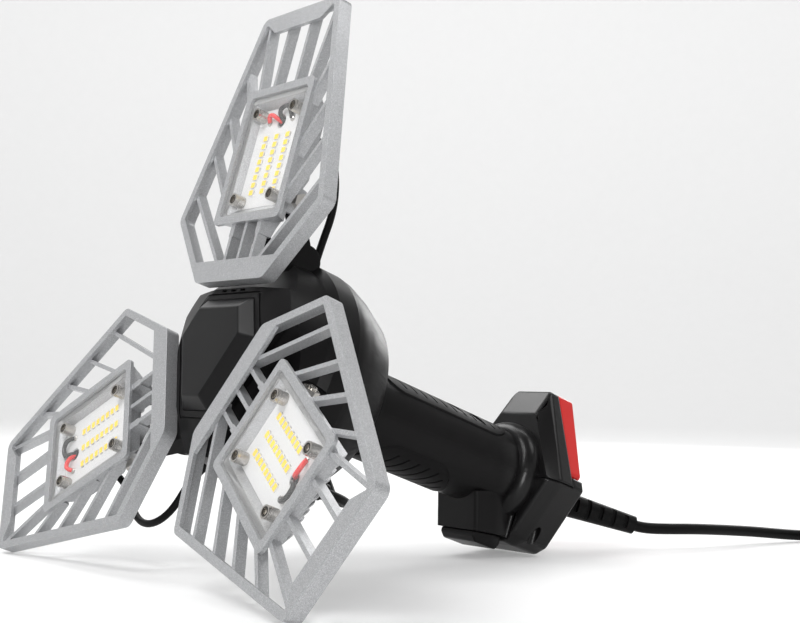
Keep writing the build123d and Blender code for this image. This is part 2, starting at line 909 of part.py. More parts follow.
def handle_pad(side, start, end, half_angle, inner, outer, margin):
    """Curved pad with round ends along one side of the handle"""
    width = 2 * handle_radius * sin(radians(half_angle)) + 2 * margin
    with BuildPart() as pad:
        with BuildSketch(lamp.offset(-start + 2)):
            Circle(outer)
            Circle(inner, mode=Mode.SUBTRACT)
        extrude(amount=-(end - start + 4))
        with BuildSketch(Plane(lamp.origin, x_dir=lamp.x_dir, z_dir=lamp.y_dir * side)):
            with Locations((0, side * (start + end) / 2)):
                RectangleRounded(width, end - start + 2 * margin, 0.45 * width)
        extrude(amount=2 * handle_radius, mode=Mode.INTERSECT)
    return pad


# Side view of the block below the handle, as heights and places along the handle
block_side = [
    (-17.3, -block_front),
    (-7.6, -foot_front - 2),
    (-33.4, -foot_front - 2),
    (-36.6, -block_front - 6.8),
]
pad_floor = handle_radius - grip_depth
grips = {
    "grip_upper": (1, grip_start, grip_end, grip_half_angle),
    "grip_lower": (-1, grip_lower_start, grip_lower_end, grip_lower_half_angle),
}
pockets = [handle_pad(*grip, pad_floor, handle_radius + 2, clearance) for grip in grips.values()]

with BuildPart() as block:
    with BuildSketch(flank):
        with BuildLine():
            Polyline(*block_side, close=True)
        make_face()
    extrude(amount=block_half, both=True)
    fillet(block.edges().sort_by(lamp_axis)[-3:-1], block_corner)

with BuildPart() as handle_body:
    with BuildSketch(profile):
        with BuildLine():
            Polyline(
                (collar_radius, -handle_end - 3),
                (collar_radius, -foot_front - 1),
                (0, -foot_front - 1),
                (0, -dome_floor + 2.5),
                (28, -dome_floor + 2.5),
                (28, -dome_floor),
                (handle_radius, -dome_floor),
                (handle_radius, -handle_end + 3.5),
            )
            ThreePointArc(
                (handle_radius, -handle_end + 3.5),
                (collar_radius - 1.6, -handle_end + 1.2),
                (collar_radius, -handle_end - 3),
            )
        make_face()
    revolve(axis=lamp_axis)
    with BuildSketch(lamp.offset(-foot_front)):
        with BuildLine():
            Polyline(*mirrored(foot_face), close=True)
        make_face()
    with BuildSketch(lamp.offset(-foot_front - foot_bevel)):
        with BuildLine():
            Polyline(*mirrored(foot_flare), close=True)
        make_face()
    loft(ruled=True)
    with BuildSketch(lamp.offset(-foot_front - foot_bevel)):
        with BuildLine():
            Polyline(*mirrored(foot_flare), close=True)
        make_face()
    extrude(amount=-(foot_end - foot_front - foot_bevel))
    # Seat of the end pad, which leans forwards at the top
    with BuildSketch(flank):
        with BuildLine():
            Polyline(*pad_side, close=True)
        make_face()
    extrude(amount=2 * foot_widest, both=True, mode=Mode.SUBTRACT)
    # Block below the handle, level on top and upright in front as the light stands
    add(block.part)
    # Hollow of the handle, the block and the foot, with bosses for the screws
    with BuildSketch(lamp.offset(-dome_floor + 2.5)):
        Circle(handle_radius - handle_wall)
    extrude(amount=-(foot_front + foot_wall - dome_floor + 2.5), mode=Mode.SUBTRACT)
    with BuildSketch(flank):
        with BuildLine():
            Polyline(
                (-14, -block_front - 5),
                (-14, -foot_front - 6),
                (-29.4, -foot_front - 6),
                (-32.8, -block_front - 10),
                close=True,
            )
        make_face()
    extrude(amount=block_half - 3.5, both=True, mode=Mode.SUBTRACT)
    with BuildSketch(lamp.offset(-foot_front - foot_wall)):
        with BuildLine():
            Polyline(*mirrored(foot_face), close=True)
        make_face()
        offset(amount=-foot_wall + 1, kind=Kind.INTERSECTION)
    extrude(amount=-(foot_end - foot_front - 2 * foot_wall + 1), mode=Mode.SUBTRACT)
    with BuildSketch(lamp.offset(-foot_front - foot_wall)):
        with Locations((0, -relief_drop)):
            Circle(relief_root + fit)
    extrude(amount=-(rest_end - foot_front), mode=Mode.SUBTRACT)
    with BuildSketch(parting):
        with Locations(*[(0, spot) for spot in handle_screw_spots]):
            Circle(4)
    extrude(amount=handle_radius - 2, both=True)
    with BuildSketch(parting.offset(-18)):
        with Locations((foot_screw_half, foot_middle), (-foot_screw_half, foot_middle)):
            Circle(4)
    extrude(amount=30)
    for pocket in pockets:
        add(pocket.part, mode=Mode.SUBTRACT)

with BuildPart() as screw_bores:
    with BuildSketch(parting.offset(-pad_floor - 2)):
        with Locations(*[(0, spot) for spot in handle_screw_spots]):
            Circle(2.8 + fit)
    extrude(amount=5)
    with BuildSketch(parting.offset(-pad_floor - 2)):
        with Locations(*[(0, spot) for spot in handle_screw_spots]):
            Circle(screw_shank / 2 + fit)
    extrude(amount=34)
    with BuildSketch(parting.offset(-foot_bottom - 5)):
        with Locations((foot_screw_half, foot_middle), (-foot_screw_half, foot_middle)):
            Circle(2.8 + fit)
    extrude(amount=foot_bottom + 5 - 14)
    with BuildSketch(parting.offset(-foot_bottom - 5)):
        with Locations((foot_screw_half, foot_middle), (-foot_screw_half, foot_middle)):
            Circle(screw_shank / 2 + fit)
    extrude(amount=foot_bottom + 5 + 9)

relief_spot = (0, -relief_drop)
with BuildPart() as handle_upper_shell:
    add(handle_body.part)
    add(screw_bores.part, mode=Mode.SUBTRACT)
    split(bisect_by=parting, keep=Keep.TOP)
save(handle_upper_shell.part, "handle_upper_shell")

with BuildPart() as handle_lower_shell:
    add(handle_body.part)
    add(screw_bores.part, mode=Mode.SUBTRACT)
    split(bisect_by=parting, keep=Keep.BOTTOM)
    with BuildSketch(lamp.offset(-foot_end)):
        with BuildLine():
            Polyline(*mirrored(foot_flare), close=True)
        make_face()
        with Locations((0, rest_lip)):
            Rectangle(
                4 * foot_widest,
                foot_top,
                align=(Align.CENTER, Align.MIN),
                mode=Mode.SUBTRACT,
            )
    extrude(amount=-(rest_end - foot_end))
    with BuildSketch(lamp.offset(-foot_end + foot_wall)):
        with Locations(relief_spot):
            Circle(relief_root + fit)
    extrude(amount=-2 * foot_wall - rest_end + foot_end, mode=Mode.SUBTRACT)
save(handle_lower_shell.part, "handle_lower_shell")

with BuildPart() as handle_screws:
    with BuildSketch(parting.offset(-pad_floor + 3)):
        with Locations(*[(0, spot) for spot in handle_screw_spots]):
            Circle(2.8)
    extrude(amount=-2.8)
    with BuildSketch(parting.offset(-pad_floor + 3)):
        with Locations(*[(0, spot) for spot in handle_screw_spots]):
            Circle(screw_shank / 2)
    extrude(amount=26)
    with BuildSketch(parting.offset(-14)):
        with Locations((foot_screw_half, foot_middle), (-foot_screw_half, foot_middle)):
            Circle(2.8)
    extrude(amount=-2.8)
    with BuildSketch(parting.offset(-14)):
        with Locations((foot_screw_half, foot_middle), (-foot_screw_half, foot_middle)):
            Circle(screw_shank / 2)
    extrude(amount=21)
save(handle_screws.part, "handle_screws")

for name, (side, start, end, half_angle) in grips.items():
    grip = handle_pad(side, start, end, half_angle, pad_floor, handle_radius + grip_rise, 0)
    width = 2 * handle_radius * sin(radians(half_angle)) - 2 * grip_rib_margin
    length = end - start - 2 * grip_rib_margin
    with BuildSketch() as slot_shape:
        with GridLocations(1, grip_rib_pitch, 1, int(length / grip_rib_pitch)):
            Rectangle(2 * width, grip_rib_slot, rotation=30 * side)
        RectangleRounded(width, length, 0.45 * width, mode=Mode.INTERSECT)
    with BuildPart() as rib_slots:
        with BuildSketch(lamp.offset(-start)):
            Circle(handle_radius + 2)
            Circle(handle_radius - 0.1, mode=Mode.SUBTRACT)
        extrude(amount=-(end - start))
        with BuildSketch(Plane(lamp.origin, x_dir=lamp.x_dir, z_dir=lamp.y_dir * side)):
            with Locations((0, side * (start + end) / 2)):
                add(slot_shape.sketch_local)
        extrude(amount=2 * handle_radius, mode=Mode.INTERSECT)
    with BuildPart() as grip_piece:
        add(grip.part)
        add(rib_slots.part, mode=Mode.SUBTRACT)
    save(grip_piece.part, name)

with BuildPart() as red_pad:
    with BuildSketch(lamp.offset(-foot_end + pad_lean)) as pad_face:
        with BuildLine():
            Polyline(
                *mirrored([(foot_top_half - 0.8, foot_top), (foot_widest - 4.4, rest_lip)]),
                close=True,
            )
        make_face()
        fillet(pad_face.vertices(), pad_corner)
    extrude(amount=-pad_lean - pad_thickness)
    with BuildSketch(flank):
        with BuildLine():
            Polyline(*pad_side, close=True)
        make_face()
    extrude(amount=2 * foot_widest, both=True, mode=Mode.INTERSECT)
    fillet(red_pad.edges().group_by(lamp_axis)[0], pad_corner - 1)
save(red_pad.part, "red_pad")

with BuildPart() as underside_plate:
    with BuildSketch(flank):
        with BuildLine():
            Polyline(
                (-30, -block_front - 8),
                (-39, -block_front - 8),
                (-plate_bottom, -block_front - 11),
                (-plate_bottom, -foot_front + 2),
                (-39, -foot_front + fit),
                (-30, -foot_front + fit),
                close=True,
            )
        make_face()
    extrude(amount=13, both=True)
    with BuildSketch(flank):
        with BuildLine():
            Polyline(*block_side, close=True)
        make_face()
    extrude(amount=block_half, both=True, mode=Mode.SUBTRACT)
save(underside_plate.part, "underside_plate")

with BuildPart() as power_supply_board:
    with BuildSketch(lamp.offset(-foot_end + foot_wall - 1)):
        Rectangle(36, 40)
        with Locations(relief_spot):
            Circle(relief_root + 1, mode=Mode.SUBTRACT)
    extrude(amount=1.6)
    with BuildSketch(lamp.offset(-foot_end + foot_wall + 0.6)):
        with Locations((-11, 12)):
            Circle(5)
        with Locations((7, 13)):
            Rectangle(16, 10)
        with Locations((0, -15.5)):
            Rectangle(24, 6)
    extrude(amount=5)
save(power_supply_board.part, "power_supply_board")

# Strain relief: a plug in the foot, a ball and a ribbed taper that leans the way the cord lies
relief_joint = lamp.from_local_coords(Vector(0, -relief_drop, -rest_end - 4))
relief_heading = lamp.from_local_coords(
    Vector(sin(radians(relief_lean)), -relief_drop, -rest_end - 4 - cos(radians(relief_lean)))
) - relief_joint
relief_plane = Plane(relief_joint, x_dir=lamp.y_dir, z_dir=relief_heading)
with BuildPart() as strain_relief:
    with BuildSketch(lamp.offset(-foot_end + foot_wall)):
        with Locations(relief_spot):
            Circle(relief_root)
    extrude(amount=-(rest_end - foot_end + foot_wall + 4))
    with Locations(relief_joint):
        Sphere(relief_root)
    with BuildSketch(relief_plane):
        Circle(relief_root)
    with BuildSketch(relief_plane.offset(relief_length - 4)):
        Circle(relief_tip)
    loft()
    for index in range(6):
        with BuildSketch(relief_plane.offset(13 + 7.5 * index)):
            with Locations((0, 6), (0, -6)):
                Rectangle(30 if index % 2 == 0 else 7, 6.5)
        extrude(amount=2.6, mode=Mode.SUBTRACT)
save(strain_relief.part, "strain_relief")


# Mains cord
def tube(points, diameter, name):
    """A cord along straight runs joined by the largest arcs that the runs allow"""
    spots = [Vector(*point) for point in points]
    radii = []
    for before, at, after in zip(spots, spots[1:], spots[2:]):
        turn = radians((at - before).get_angle(after - at))
        radii.append(0.45 * min((at - before).length, (after - at).length) / tan(turn / 2))
    with BuildPart() as cord:
        with BuildLine() as path:
            FilletPolyline(*spots, radius=radii)
        way = path.wire()
        with BuildSketch(Plane(way @ 0, z_dir=way % 0)):
            Circle(diameter / 2)
        sweep(path=way)
    ideal = way.length * pi * diameter**2 / 4
    print(name, "radii", [round(radius) for radius in radii], "length", round(way.length, 1))
    print(name, "volume", round(cord.part.volume), "section times length", round(ideal))
    save(cord.part, name)


cord_height = cord_diameter / 2 + fit
relief_end = relief_joint + relief_heading * (relief_length - 4)
coil_turn = 25
coil_pitch = cord_diameter + coil_gap
coil_outer = coil_radius + 3 * coil_pitch / 2
coil_heading = Vector(sin(radians(coil_turn)), cos(radians(coil_turn)), 0)
coil_entry = Vector(61.4, 418.4 - stand_back, cord_height)
cord_route = [
    relief_end,
    relief_end + relief_heading * 15,
    (40, 300 - stand_back, 7.4),
    (41.5, 345 - stand_back, 4.4),
    coil_entry - coil_heading * 36,
    coil_entry,
]
tube(cord_route, cord_diameter, "power_cord")

# Rest of the cord, wound flat in two layers: inwards along the floor, up, and outwards again
coil_frame = Plane(coil_entry, x_dir=coil_heading.cross(Vector(0, 0, 1)), z_dir=(0, 0, 1))


def coil_point(x, y, z=0):
    """A point in the coil's frame: y is the way that the cord comes in, x is to its right"""
    return coil_frame.from_local_coords(Vector(x, y, z))


def biarc(start, start_way, end, end_way):
    """Adds two arcs in space that leave and arrive along given directions"""
    run = end - start
    bend = 2 * (1 - start_way.dot(end_way))
    reach = run.dot(start_way + end_way)
    side = (-reach + sqrt(reach**2 + bend * run.dot(run))) / bend
    middle = (start + end + (start_way - end_way) * side) / 2
    middle_way = (run - (start_way + end_way) * side).normalized()
    TangentArc(start, middle, tangent=start_way)
    TangentArc(middle, end, tangent=middle_way)


half_turns = int(2 * coil_turns_per_layer)
forward = coil_point(0, 1) - coil_point(0, 0)
across = coil_point(1, 0) - coil_point(0, 0)
up = Vector(0, 0, 1)
with BuildPart() as cord_coil:
    with BuildLine() as coil_path:
        Line(coil_point(0, 0), coil_point(0, cord_diameter))
        at = 0
        way = 1
        height = 0
        radii = [coil_outer - index * coil_pitch / 2 for index in range(half_turns)]
        for radius in radii:
            ThreePointArc(
                coil_point(at, cord_diameter, height),
                coil_point(at + way * radius, cord_diameter + way * radius, height),
                coil_point(at + 2 * way * radius, cord_diameter, height),
            )
            at += 2 * way * radius
            way = -way
        inner = radii[-1] - coil_pitch / 2
        start = coil_point(at, cord_diameter, height)
        top = coil_point(
            at + way * inner, cord_diameter + way * inner, height + coil_pitch / 2
        )
        end = coil_point(at + 2 * way * inner, cord_diameter, height + coil_pitch)
        climb = (across * way + up * (coil_pitch / (2 * inner))).normalized()
        biarc(start, forward * way, top, climb)
        biarc(top, climb, end, forward * -way)
        at += 2 * way * inner
        way = -way
        height += coil_pitch
        for radius in reversed(radii):
            ThreePointArc(
                coil_point(at, cord_diameter, height),
                coil_point(at + way * radius, cord_diameter + way * radius, height),
                coil_point(at + 2 * way * radius, cord_diameter, height),
            )
            at += 2 * way * radius
            way = -way
        Line(
            coil_point(at, cord_diameter, height),
            coil_point(at, cord_diameter + way * cord_diameter, height),
        )
    coil_way = coil_path.wire()
    with BuildSketch(Plane(coil_way @ 0, z_dir=coil_way % 0)):
        Circle(cord_diameter / 2)
    sweep(path=coil_way)
coil_length = coil_way.length
stations = [coil_way @ (index / 500) for index in range(501)]
apart = int(2 * cord_diameter * 500 / coil_length) + 2
closest = min(
    (second - first).length
    for index, first in enumerate(stations)
    for second in stations[index + apart :]
)
print("cord_coil length", round(coil_length, 1), "least gap", round(closest - cord_diameter, 2))
coil_ideal = coil_length * pi * cord_diameter**2 / 4
print("cord_coil volume", round(cord_coil.part.volume), "section times length", round(coil_ideal))
save(cord_coil.part, "cord_coil")

# Plug, lying on the floor at the height of the coil's upper layer
plug_start = coil_way @ 1
plug_plane = Plane(plug_start, x_dir=up, z_dir=forward * way)
pin_rows = [(6.35, 5.9), (-6.35, 5.9)]
earth_spot = (0, -6)
with BuildPart() as plug_body:
    with BuildSketch(plug_plane):
        Circle(3.6)
    with BuildSketch(plug_plane.offset(plug_neck)):
        Circle(5.4)
    loft()
    with BuildSketch(plug_plane.offset(plug_neck)):
        RectangleRounded(13, 17, 6)
    with BuildSketch(plug_plane.offset(plug_shoulder)):
        RectangleRounded(20, 27, 6)
    loft()
    with BuildSketch(plug_plane.offset(plug_shoulder)):
        RectangleRounded(20, 27, 6)
    extrude(amount=plug_length - plug_shoulder)
    with BuildSketch(plug_plane.offset(plug_length)):
        with Locations(*pin_rows):
            Rectangle(1.5, 6.3)
        with Locations(earth_spot):
            Circle(earth_pin_radius - 0.4)
    extrude(amount=-6, mode=Mode.SUBTRACT)
save(plug_body.part, "plug_body")

with BuildPart() as plug_pins:
    with BuildSketch(plug_plane.offset(plug_length - 6)):
        with Locations(*pin_rows):
            Rectangle(1.5, 6.3)
    extrude(amount=6 + 16)
    with BuildSketch(plug_plane.offset(plug_length - 6)):
        with Locations(earth_spot):
            Circle(earth_pin_radius - 0.4)
    extrude(amount=6)
    with BuildSketch(plug_plane.offset(plug_length)):
        with Locations(earth_spot):
            Circle(earth_pin_radius)
    extrude(amount=earth_pin_length)
save(plug_pins.part, "plug_pins")

# Cables between the heads and the hub
cable_ways = (
    [(66, -8, -39), (50, -7, -43)],
    [(80, 24, -41), (66, 38, -40), (45, 40, -39)],
    [(67, -9, -39), (50, -9, -43)],
)
lead_inner = 46
lead_bend = 66
for number, (angle, points, offset_across) in enumerate(
    zip(head_angles, cable_ways, lead_offsets), 1
):
    head = head_plane(angle)
    hub_side = outward_plane(angle)
    tube(
        [head.from_local_coords(Vector(gland_at, 0, -fin_back - 0.5))]
        + [head.from_local_coords(Vector(gland_at, 0, -fin_back - 20))]
        + [head.from_local_coords(Vector(*point)) for point in points]
        + [
            hub_side.from_local_coords(Vector(-lead_depth, -offset_across, reach))
            for reach in (lead_bend, lead_inner - abs(offset_across) / 5)
        ],
        cable_diameter,
        f"head_{number}_cable",
    )
print("elevation", round(elevation, 3), "axis height", round(axis_height, 3))
print("plug face", plug_plane.offset(plug_length).origin, "way out", plug_plane.z_dir)
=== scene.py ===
# %% [markdown]
# # A hand-held work light with three LED heads
# The real light has three cast heads with fins and slats, a black plastic hub with a push
# button, a gripped handle, a flared foot and a rubber mains cord. Its rigid forms come from
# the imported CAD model, which stays as it is. This lesson adds rounded edges, smooth cords,
# small surfaces such as leads and light-emitting faces, materials, a camera and soft light.
# Lengths are in metres unless a comment says millimetres, and every piece stands where the
# CAD model has it.

import json
from math import cos, pi, radians, sin

import bmesh
import bpy
import numpy as np
from mathutils import Matrix, Vector


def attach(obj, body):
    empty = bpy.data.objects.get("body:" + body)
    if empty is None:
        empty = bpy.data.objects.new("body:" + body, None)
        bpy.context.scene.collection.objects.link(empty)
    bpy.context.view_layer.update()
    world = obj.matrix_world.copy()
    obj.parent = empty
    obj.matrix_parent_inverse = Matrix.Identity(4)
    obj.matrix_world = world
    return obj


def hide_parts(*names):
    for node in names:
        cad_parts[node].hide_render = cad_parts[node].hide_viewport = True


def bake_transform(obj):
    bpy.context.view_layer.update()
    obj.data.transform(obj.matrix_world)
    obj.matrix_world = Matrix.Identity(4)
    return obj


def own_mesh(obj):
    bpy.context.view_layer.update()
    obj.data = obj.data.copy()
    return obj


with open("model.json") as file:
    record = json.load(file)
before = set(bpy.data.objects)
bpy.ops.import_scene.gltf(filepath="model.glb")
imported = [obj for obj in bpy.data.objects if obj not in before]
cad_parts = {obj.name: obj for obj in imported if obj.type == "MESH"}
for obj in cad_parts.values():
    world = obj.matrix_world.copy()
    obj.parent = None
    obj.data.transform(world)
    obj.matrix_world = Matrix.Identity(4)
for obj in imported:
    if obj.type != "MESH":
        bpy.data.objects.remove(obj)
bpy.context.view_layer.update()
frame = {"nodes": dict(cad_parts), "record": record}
nodes = frame["nodes"]
record = frame["record"]
body_of_node = {n: b for b, names in record["behaviour"]["bodies"].items() for n in names}
slot_of_node = {part["node"]: part["material_slot"] for part in record["subparts"]}

# %% [markdown]
# ## Camera
# The photograph was taken from low down, to the right of the heads, with a fairly long lens.
# A camera could be aimed by three angles, but three directions are easier to check: the one
# to its right, the one up and the one backwards. The small shift of the lens stands for the
# way that the picture was cropped.

# %% Place the camera
camera_place = (0.571944, -0.445243, 0.091311)
camera_right = Vector((0.609113, 0.792911, 0.016521))
camera_up = Vector((-0.002354, -0.019024, 0.999816))
camera_back = Vector((0.793080, -0.609040, -0.009721))
camera_turn = Matrix((camera_right, camera_up, camera_back)).transposed()
camera_data = bpy.data.cameras.new("camera")
camera_data.lens = 64.068
camera_data.sensor_width = 36
camera_data.shift_x = 0.02026
camera_data.shift_y = 0.07151
camera = bpy.data.objects.new("camera", camera_data)
bpy.context.scene.collection.objects.link(camera)
camera.matrix_world = Matrix.Translation(camera_place) @ camera_turn.to_4x4()
bpy.context.scene.camera = camera
print("camera height", round(camera.location.z, 3))

# %% [markdown]
# ## Places on the light
# The light leans back: the axis of its handle falls 19 degrees towards the foot. A point is
# easier to name in the lamp's own directions, x to the right, y up across the handle and z
# out through the button, or on a head, u outwards, v across and w out of the cover.

# %% Change places on the light into places in the scene
elevation = radians(19.081)
axis_height = 0.107212
stand_back = 0.109745
head_angles = (90, 210, 330)
head_reach = 0.03235
head_tilt = radians(2.8)


def lamp_points(x, y, z):
    """Scene points of lamp points: z runs along the leaning axis and y square to it."""
    x, y, z = np.broadcast_arrays(np.asarray(x, float), y, z)
    back = -z * cos(elevation) + y * sin(elevation) - stand_back
    return np.stack((x, back, axis_height + y * cos(elevation) + z * sin(elevation)), -1)


def hub_points(angle, out, across, along):
    """Scene points beside the hub: out from the axis towards a head, across it, along the axis."""
    a = radians(angle)
    return lamp_points(out * cos(a) - across * sin(a), out * sin(a) + across * cos(a), along)


def head_points(angle, u, v, w):
    """Scene points of head points: u along the tilted radius, v across it, w out of the front."""
    u, v, w = np.broadcast_arrays(np.asarray(u, float), v, w)
    out = head_reach + u * cos(head_tilt) - w * sin(head_tilt)
    along = u * sin(head_tilt) + w * cos(head_tilt)
    return hub_points(angle, out, v, along)


print("middle of the lamp's directions", lamp_points(0, 0, 0).round(3))

# %% [markdown]
# ## Mains cord
# The cord leaves its strain relief, sinks to the floor and runs out of the picture. What the
# picture doesn't show is wound flat in two layers beside the light, as for storage. One
# smooth spline carries it all, because a real cord has no joints. The wound part comes from
# a formula: the radius shrinks by a little more than one cord for every turn, the last half
# turn inside climbs one layer, and the upper layer grows outwards again.

# %% Wind the coil
cord_diameter = 0.0062
cord_gap = 0.0007
layer = cord_diameter + cord_gap
cord_exit = (0.027229, 0.150310, 0.014084)
route = [
    cord_exit,
    (0.030, 0.155243, 0.012389),
    (0.0363, 0.170, 0.0118),
    (0.0400, 0.190255, 0.0112),
    (0.0415, 0.235255, 0.0078),
    (0.046186, 0.276028, 0.0034),
    (0.0614, 0.308655, 0.00315),
]
coil_heading = radians(25)
coil_way = np.array((sin(coil_heading), cos(coil_heading), 0))
coil_right = np.array((cos(coil_heading), -sin(coil_heading), 0))
coil_outer = 0.04435 + layer / 4
coil_turns = 7.5
inward_turns = 3.5
climb_turns = 0.5
points_per_turn = 14
coil_end_reach = 0.0956


def smooth_step(t):
    """0 before t = 0, 1 after t = 1, and 3 t squared minus 2 t cubed between them."""
    t = np.clip(t, 0, 1)
    return t * t * (3 - 2 * t)


def coil_points():
    """Clockwise spiral: its radius falls by a cord and a gap each turn, holds while it climbs
    and moves half a step to the right, then grows at the same rate. The spline cuts inside its
    points, to 3/4 + 1/4 cos(angle between two) of their radius, so they lie that much out."""
    turn = np.arange(1, int(coil_turns * points_per_turn)) / points_per_turn
    climb = smooth_step((turn - inward_turns) / climb_turns)
    inward = np.minimum(turn, inward_turns)
    steps = np.where(turn < inward_turns + climb_turns, inward, coil_turns - turn)
    radius = coil_outer - layer * steps
    radius = radius / (0.75 + 0.25 * cos(2 * pi / points_per_turn))
    centre = np.array(route[-1]) + coil_way * cord_diameter + coil_right * coil_outer
    angle = 2 * pi * turn[:, None]
    spread = -coil_right * np.cos(angle) + coil_way * np.sin(angle)
    shift = coil_right * (layer / 2 * climb)[:, None] + np.array((0, 0, layer)) * climb[:, None]
    return centre + radius[:, None] * spread + shift


coil_end = np.array(route[-1]) + coil_right * coil_end_reach + np.array((0, 0, layer))
cord_points = np.concatenate(
    (route, coil_points(), [coil_end + coil_way * cord_diameter, coil_end])
)
print("cord points", len(cord_points))

# %% [markdown]
# ### One spline with a round section
# A curve object with a bevel is a cord that stays easy to change. The bevel is 1 deep and the
# points carry the real radius, because the curve's box counts both. The order of the spline
# is set after its points are there: set before, it falls back to straight runs.

# %% Draw the cord


def spline_curve(name, points, radius):
    """A NURBS spline of order 3 with the points as its control points, and a round section."""
    curve = bpy.data.curves.new(name, "CURVE")
    curve.dimensions = "3D"
    curve.resolution_u = 6
    curve.bevel_depth = 1 if radius else 0
    curve.bevel_resolution = 6
    curve.use_fill_caps = True
    spline = curve.splines.new("NURBS")
    spline.points.add(len(points) - 1)
    spline.points.foreach_set("co", np.c_[points, np.ones(len(points))].ravel())
    spline.points.foreach_set("radius", np.full(len(points), radius))
    spline.order_u = 3
    spline.use_endpoint_u = True
    piece = bpy.data.objects.new(name, curve)
    bpy.context.scene.collection.objects.link(piece)
    return piece


mains_cord = spline_curve("mains_cord", cord_points, cord_diameter / 2)
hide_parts("power_cord", "cord_coil")
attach(mains_cord, "hub_and_handle")
print("order of the cord's spline", mains_cord.data.splines[0].order_u)

# %% [markdown]
# ## Tubes along a line
# The cables between the heads and the hub are thin tubes, made as meshes. A tube is a circle
# carried along a line: the grid's first parameter runs along the line and its second round the
# circle. The same stack of rings, closed by its two ends or on itself, also makes the other
# small surfaces of this lesson.

# %% Helpers for meshes made from arrays


def grid_quads(rows, columns):
    """Quads of a grid that closes round its columns, as index arrays of four corners each."""
    i, j = np.meshgrid(np.arange(rows - 1), np.arange(columns), indexing="ij")
    k = (j + 1) % columns
    row, next_row = i * columns, (i + 1) * columns
    return np.stack((row + j, row + k, next_row + k, next_row + j), -1).reshape(-1, 4)


def mesh_piece(name, points, faces, material=None, smooth=True):
    """A mesh object at the origin from arrays of points and lists of faces, turned outwards."""
    mesh = bpy.data.meshes.new(name)
    mesh.from_pydata(points.reshape(-1, 3), [], faces)
    work = bmesh.new()
    work.from_mesh(mesh)
    bmesh.ops.recalc_face_normals(work, faces=work.faces)
    work.to_mesh(mesh)
    work.free()
    mesh.polygons.foreach_set("use_smooth", np.full(len(mesh.polygons), smooth))
    mesh.update()
    piece = bpy.data.objects.new(name, mesh)
    bpy.context.scene.collection.objects.link(piece)
    if material:
        mesh.materials.append(material)
    return piece


def stacked_faces(rings, sides, copies=1, loop=False):
    """Faces of a stack of rings: closed by its two ends, or, as a loop, on its own first ring."""
    turns = rings + 1 if loop else rings
    faces = grid_quads(turns, sides) % (rings * sides)
    starts = rings * sides * np.arange(copies)
    found = (faces + starts[:, None, None]).reshape(-1, 4).tolist()
    if not loop:
        ends = np.arange(sides) + np.array((0, (rings - 1) * sides))[:, None]
        found += (ends + starts[:, None, None]).reshape(-1, sides).tolist()
    return found


def tube_piece(name, line, radius, sides=16):
    """Circle carried along a line: point + radius (side cos a + up sin a), side and up square
    to the line. Up is the direction in which the line spreads least, so it never turns over."""
    way = np.gradient(line, axis=0)
    way /= np.linalg.norm(way, axis=1)[:, None]
    least = np.linalg.svd(line - line.mean(0))[2][2]
    side = np.cross(way, least)
    side /= np.linalg.norm(side, axis=1)[:, None]
    up = np.cross(side, way)
    a = 2 * pi * np.arange(sides) / sides
    ring = side[:, None] * np.cos(a)[:, None] + up[:, None] * np.sin(a)[:, None]
    points = line[:, None] + radius * ring
    return mesh_piece(name, points, stacked_faces(len(line), sides))


def spline_line(points):
    """Points read from a NURBS spline of order 3, evenly by its parameter."""
    bare = spline_curve("bare_line", points, 0)
    line = bpy.data.meshes.new_from_object(bare)
    found = np.zeros(len(line.vertices) * 3)
    line.vertices.foreach_get("co", found)
    bpy.data.objects.remove(bare)
    bpy.data.meshes.remove(line)
    return found.reshape(-1, 3)


print("faces of a tube with 3 rings of 8", len(stacked_faces(3, 8)))

# %% [markdown]
# ## Cables between the heads and the hub
# Each head's cable comes straight out of a gland at its back, loops behind the head and goes
# into the hub. Each cable is a tube along points read from its spline, baked into place and
# joined to neither body.

# %% Run the three cables
cable_radius = 0.0019
gland_at = 0.083
gland_depths = np.array((-0.017, -0.0365))
hub_outside = 0.066
hub_inside = 0.046
hub_depth = -0.0405
# The loops as head points in millimetres, and how far beside a head's middle they end.
cable_ways = (
    [(66, -8, -39), (50, -7, -43)],
    [(80, 24, -41), (66, 38, -40), (45, 40, -39)],
    [(67, -9, -39), (50, -9, -43)],
)
cable_sides = (-0.005, 0.0225, -0.006)
head_cables = []
for number, (angle, ways, across) in enumerate(zip(head_angles, cable_ways, cable_sides), 1):
    starts = head_points(angle, gland_at, 0, gland_depths)
    middle = head_points(angle, *(np.array(ways).T / 1000))
    out = np.array((hub_outside, hub_inside - abs(across) / 5))
    ends = hub_points(angle, out, across, hub_depth)
    line = spline_line(np.concatenate((starts, middle, ends)))
    cable = tube_piece(f"head_{number}_lead", line, cable_radius)
    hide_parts(f"head_{number}_cable")
    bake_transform(cable)
    head_cables.append(cable)

# %% [markdown]
# ## Shared effects
# Two effects come back in the finishes. Mouldings, rubber, metals and painted boards have a
# fine grain over a slow mottling of colour and gloss, and silver paint has metal flakes in
# it. Each effect is a node group with named inputs, built once, so a material only gives its
# own sizes and colours. Both read Object coordinates, so they stay on a piece that moves.

# %% Helpers for node trees


def add_node(tree, kind, **values):
    """A node with its properties set, or its sockets where the name is one of theirs."""
    node = tree.nodes.new(kind)
    for name, value in values.items():
        if name in node.inputs:
            node.inputs[name].default_value = value
        else:
            setattr(node, name, value)
    return node


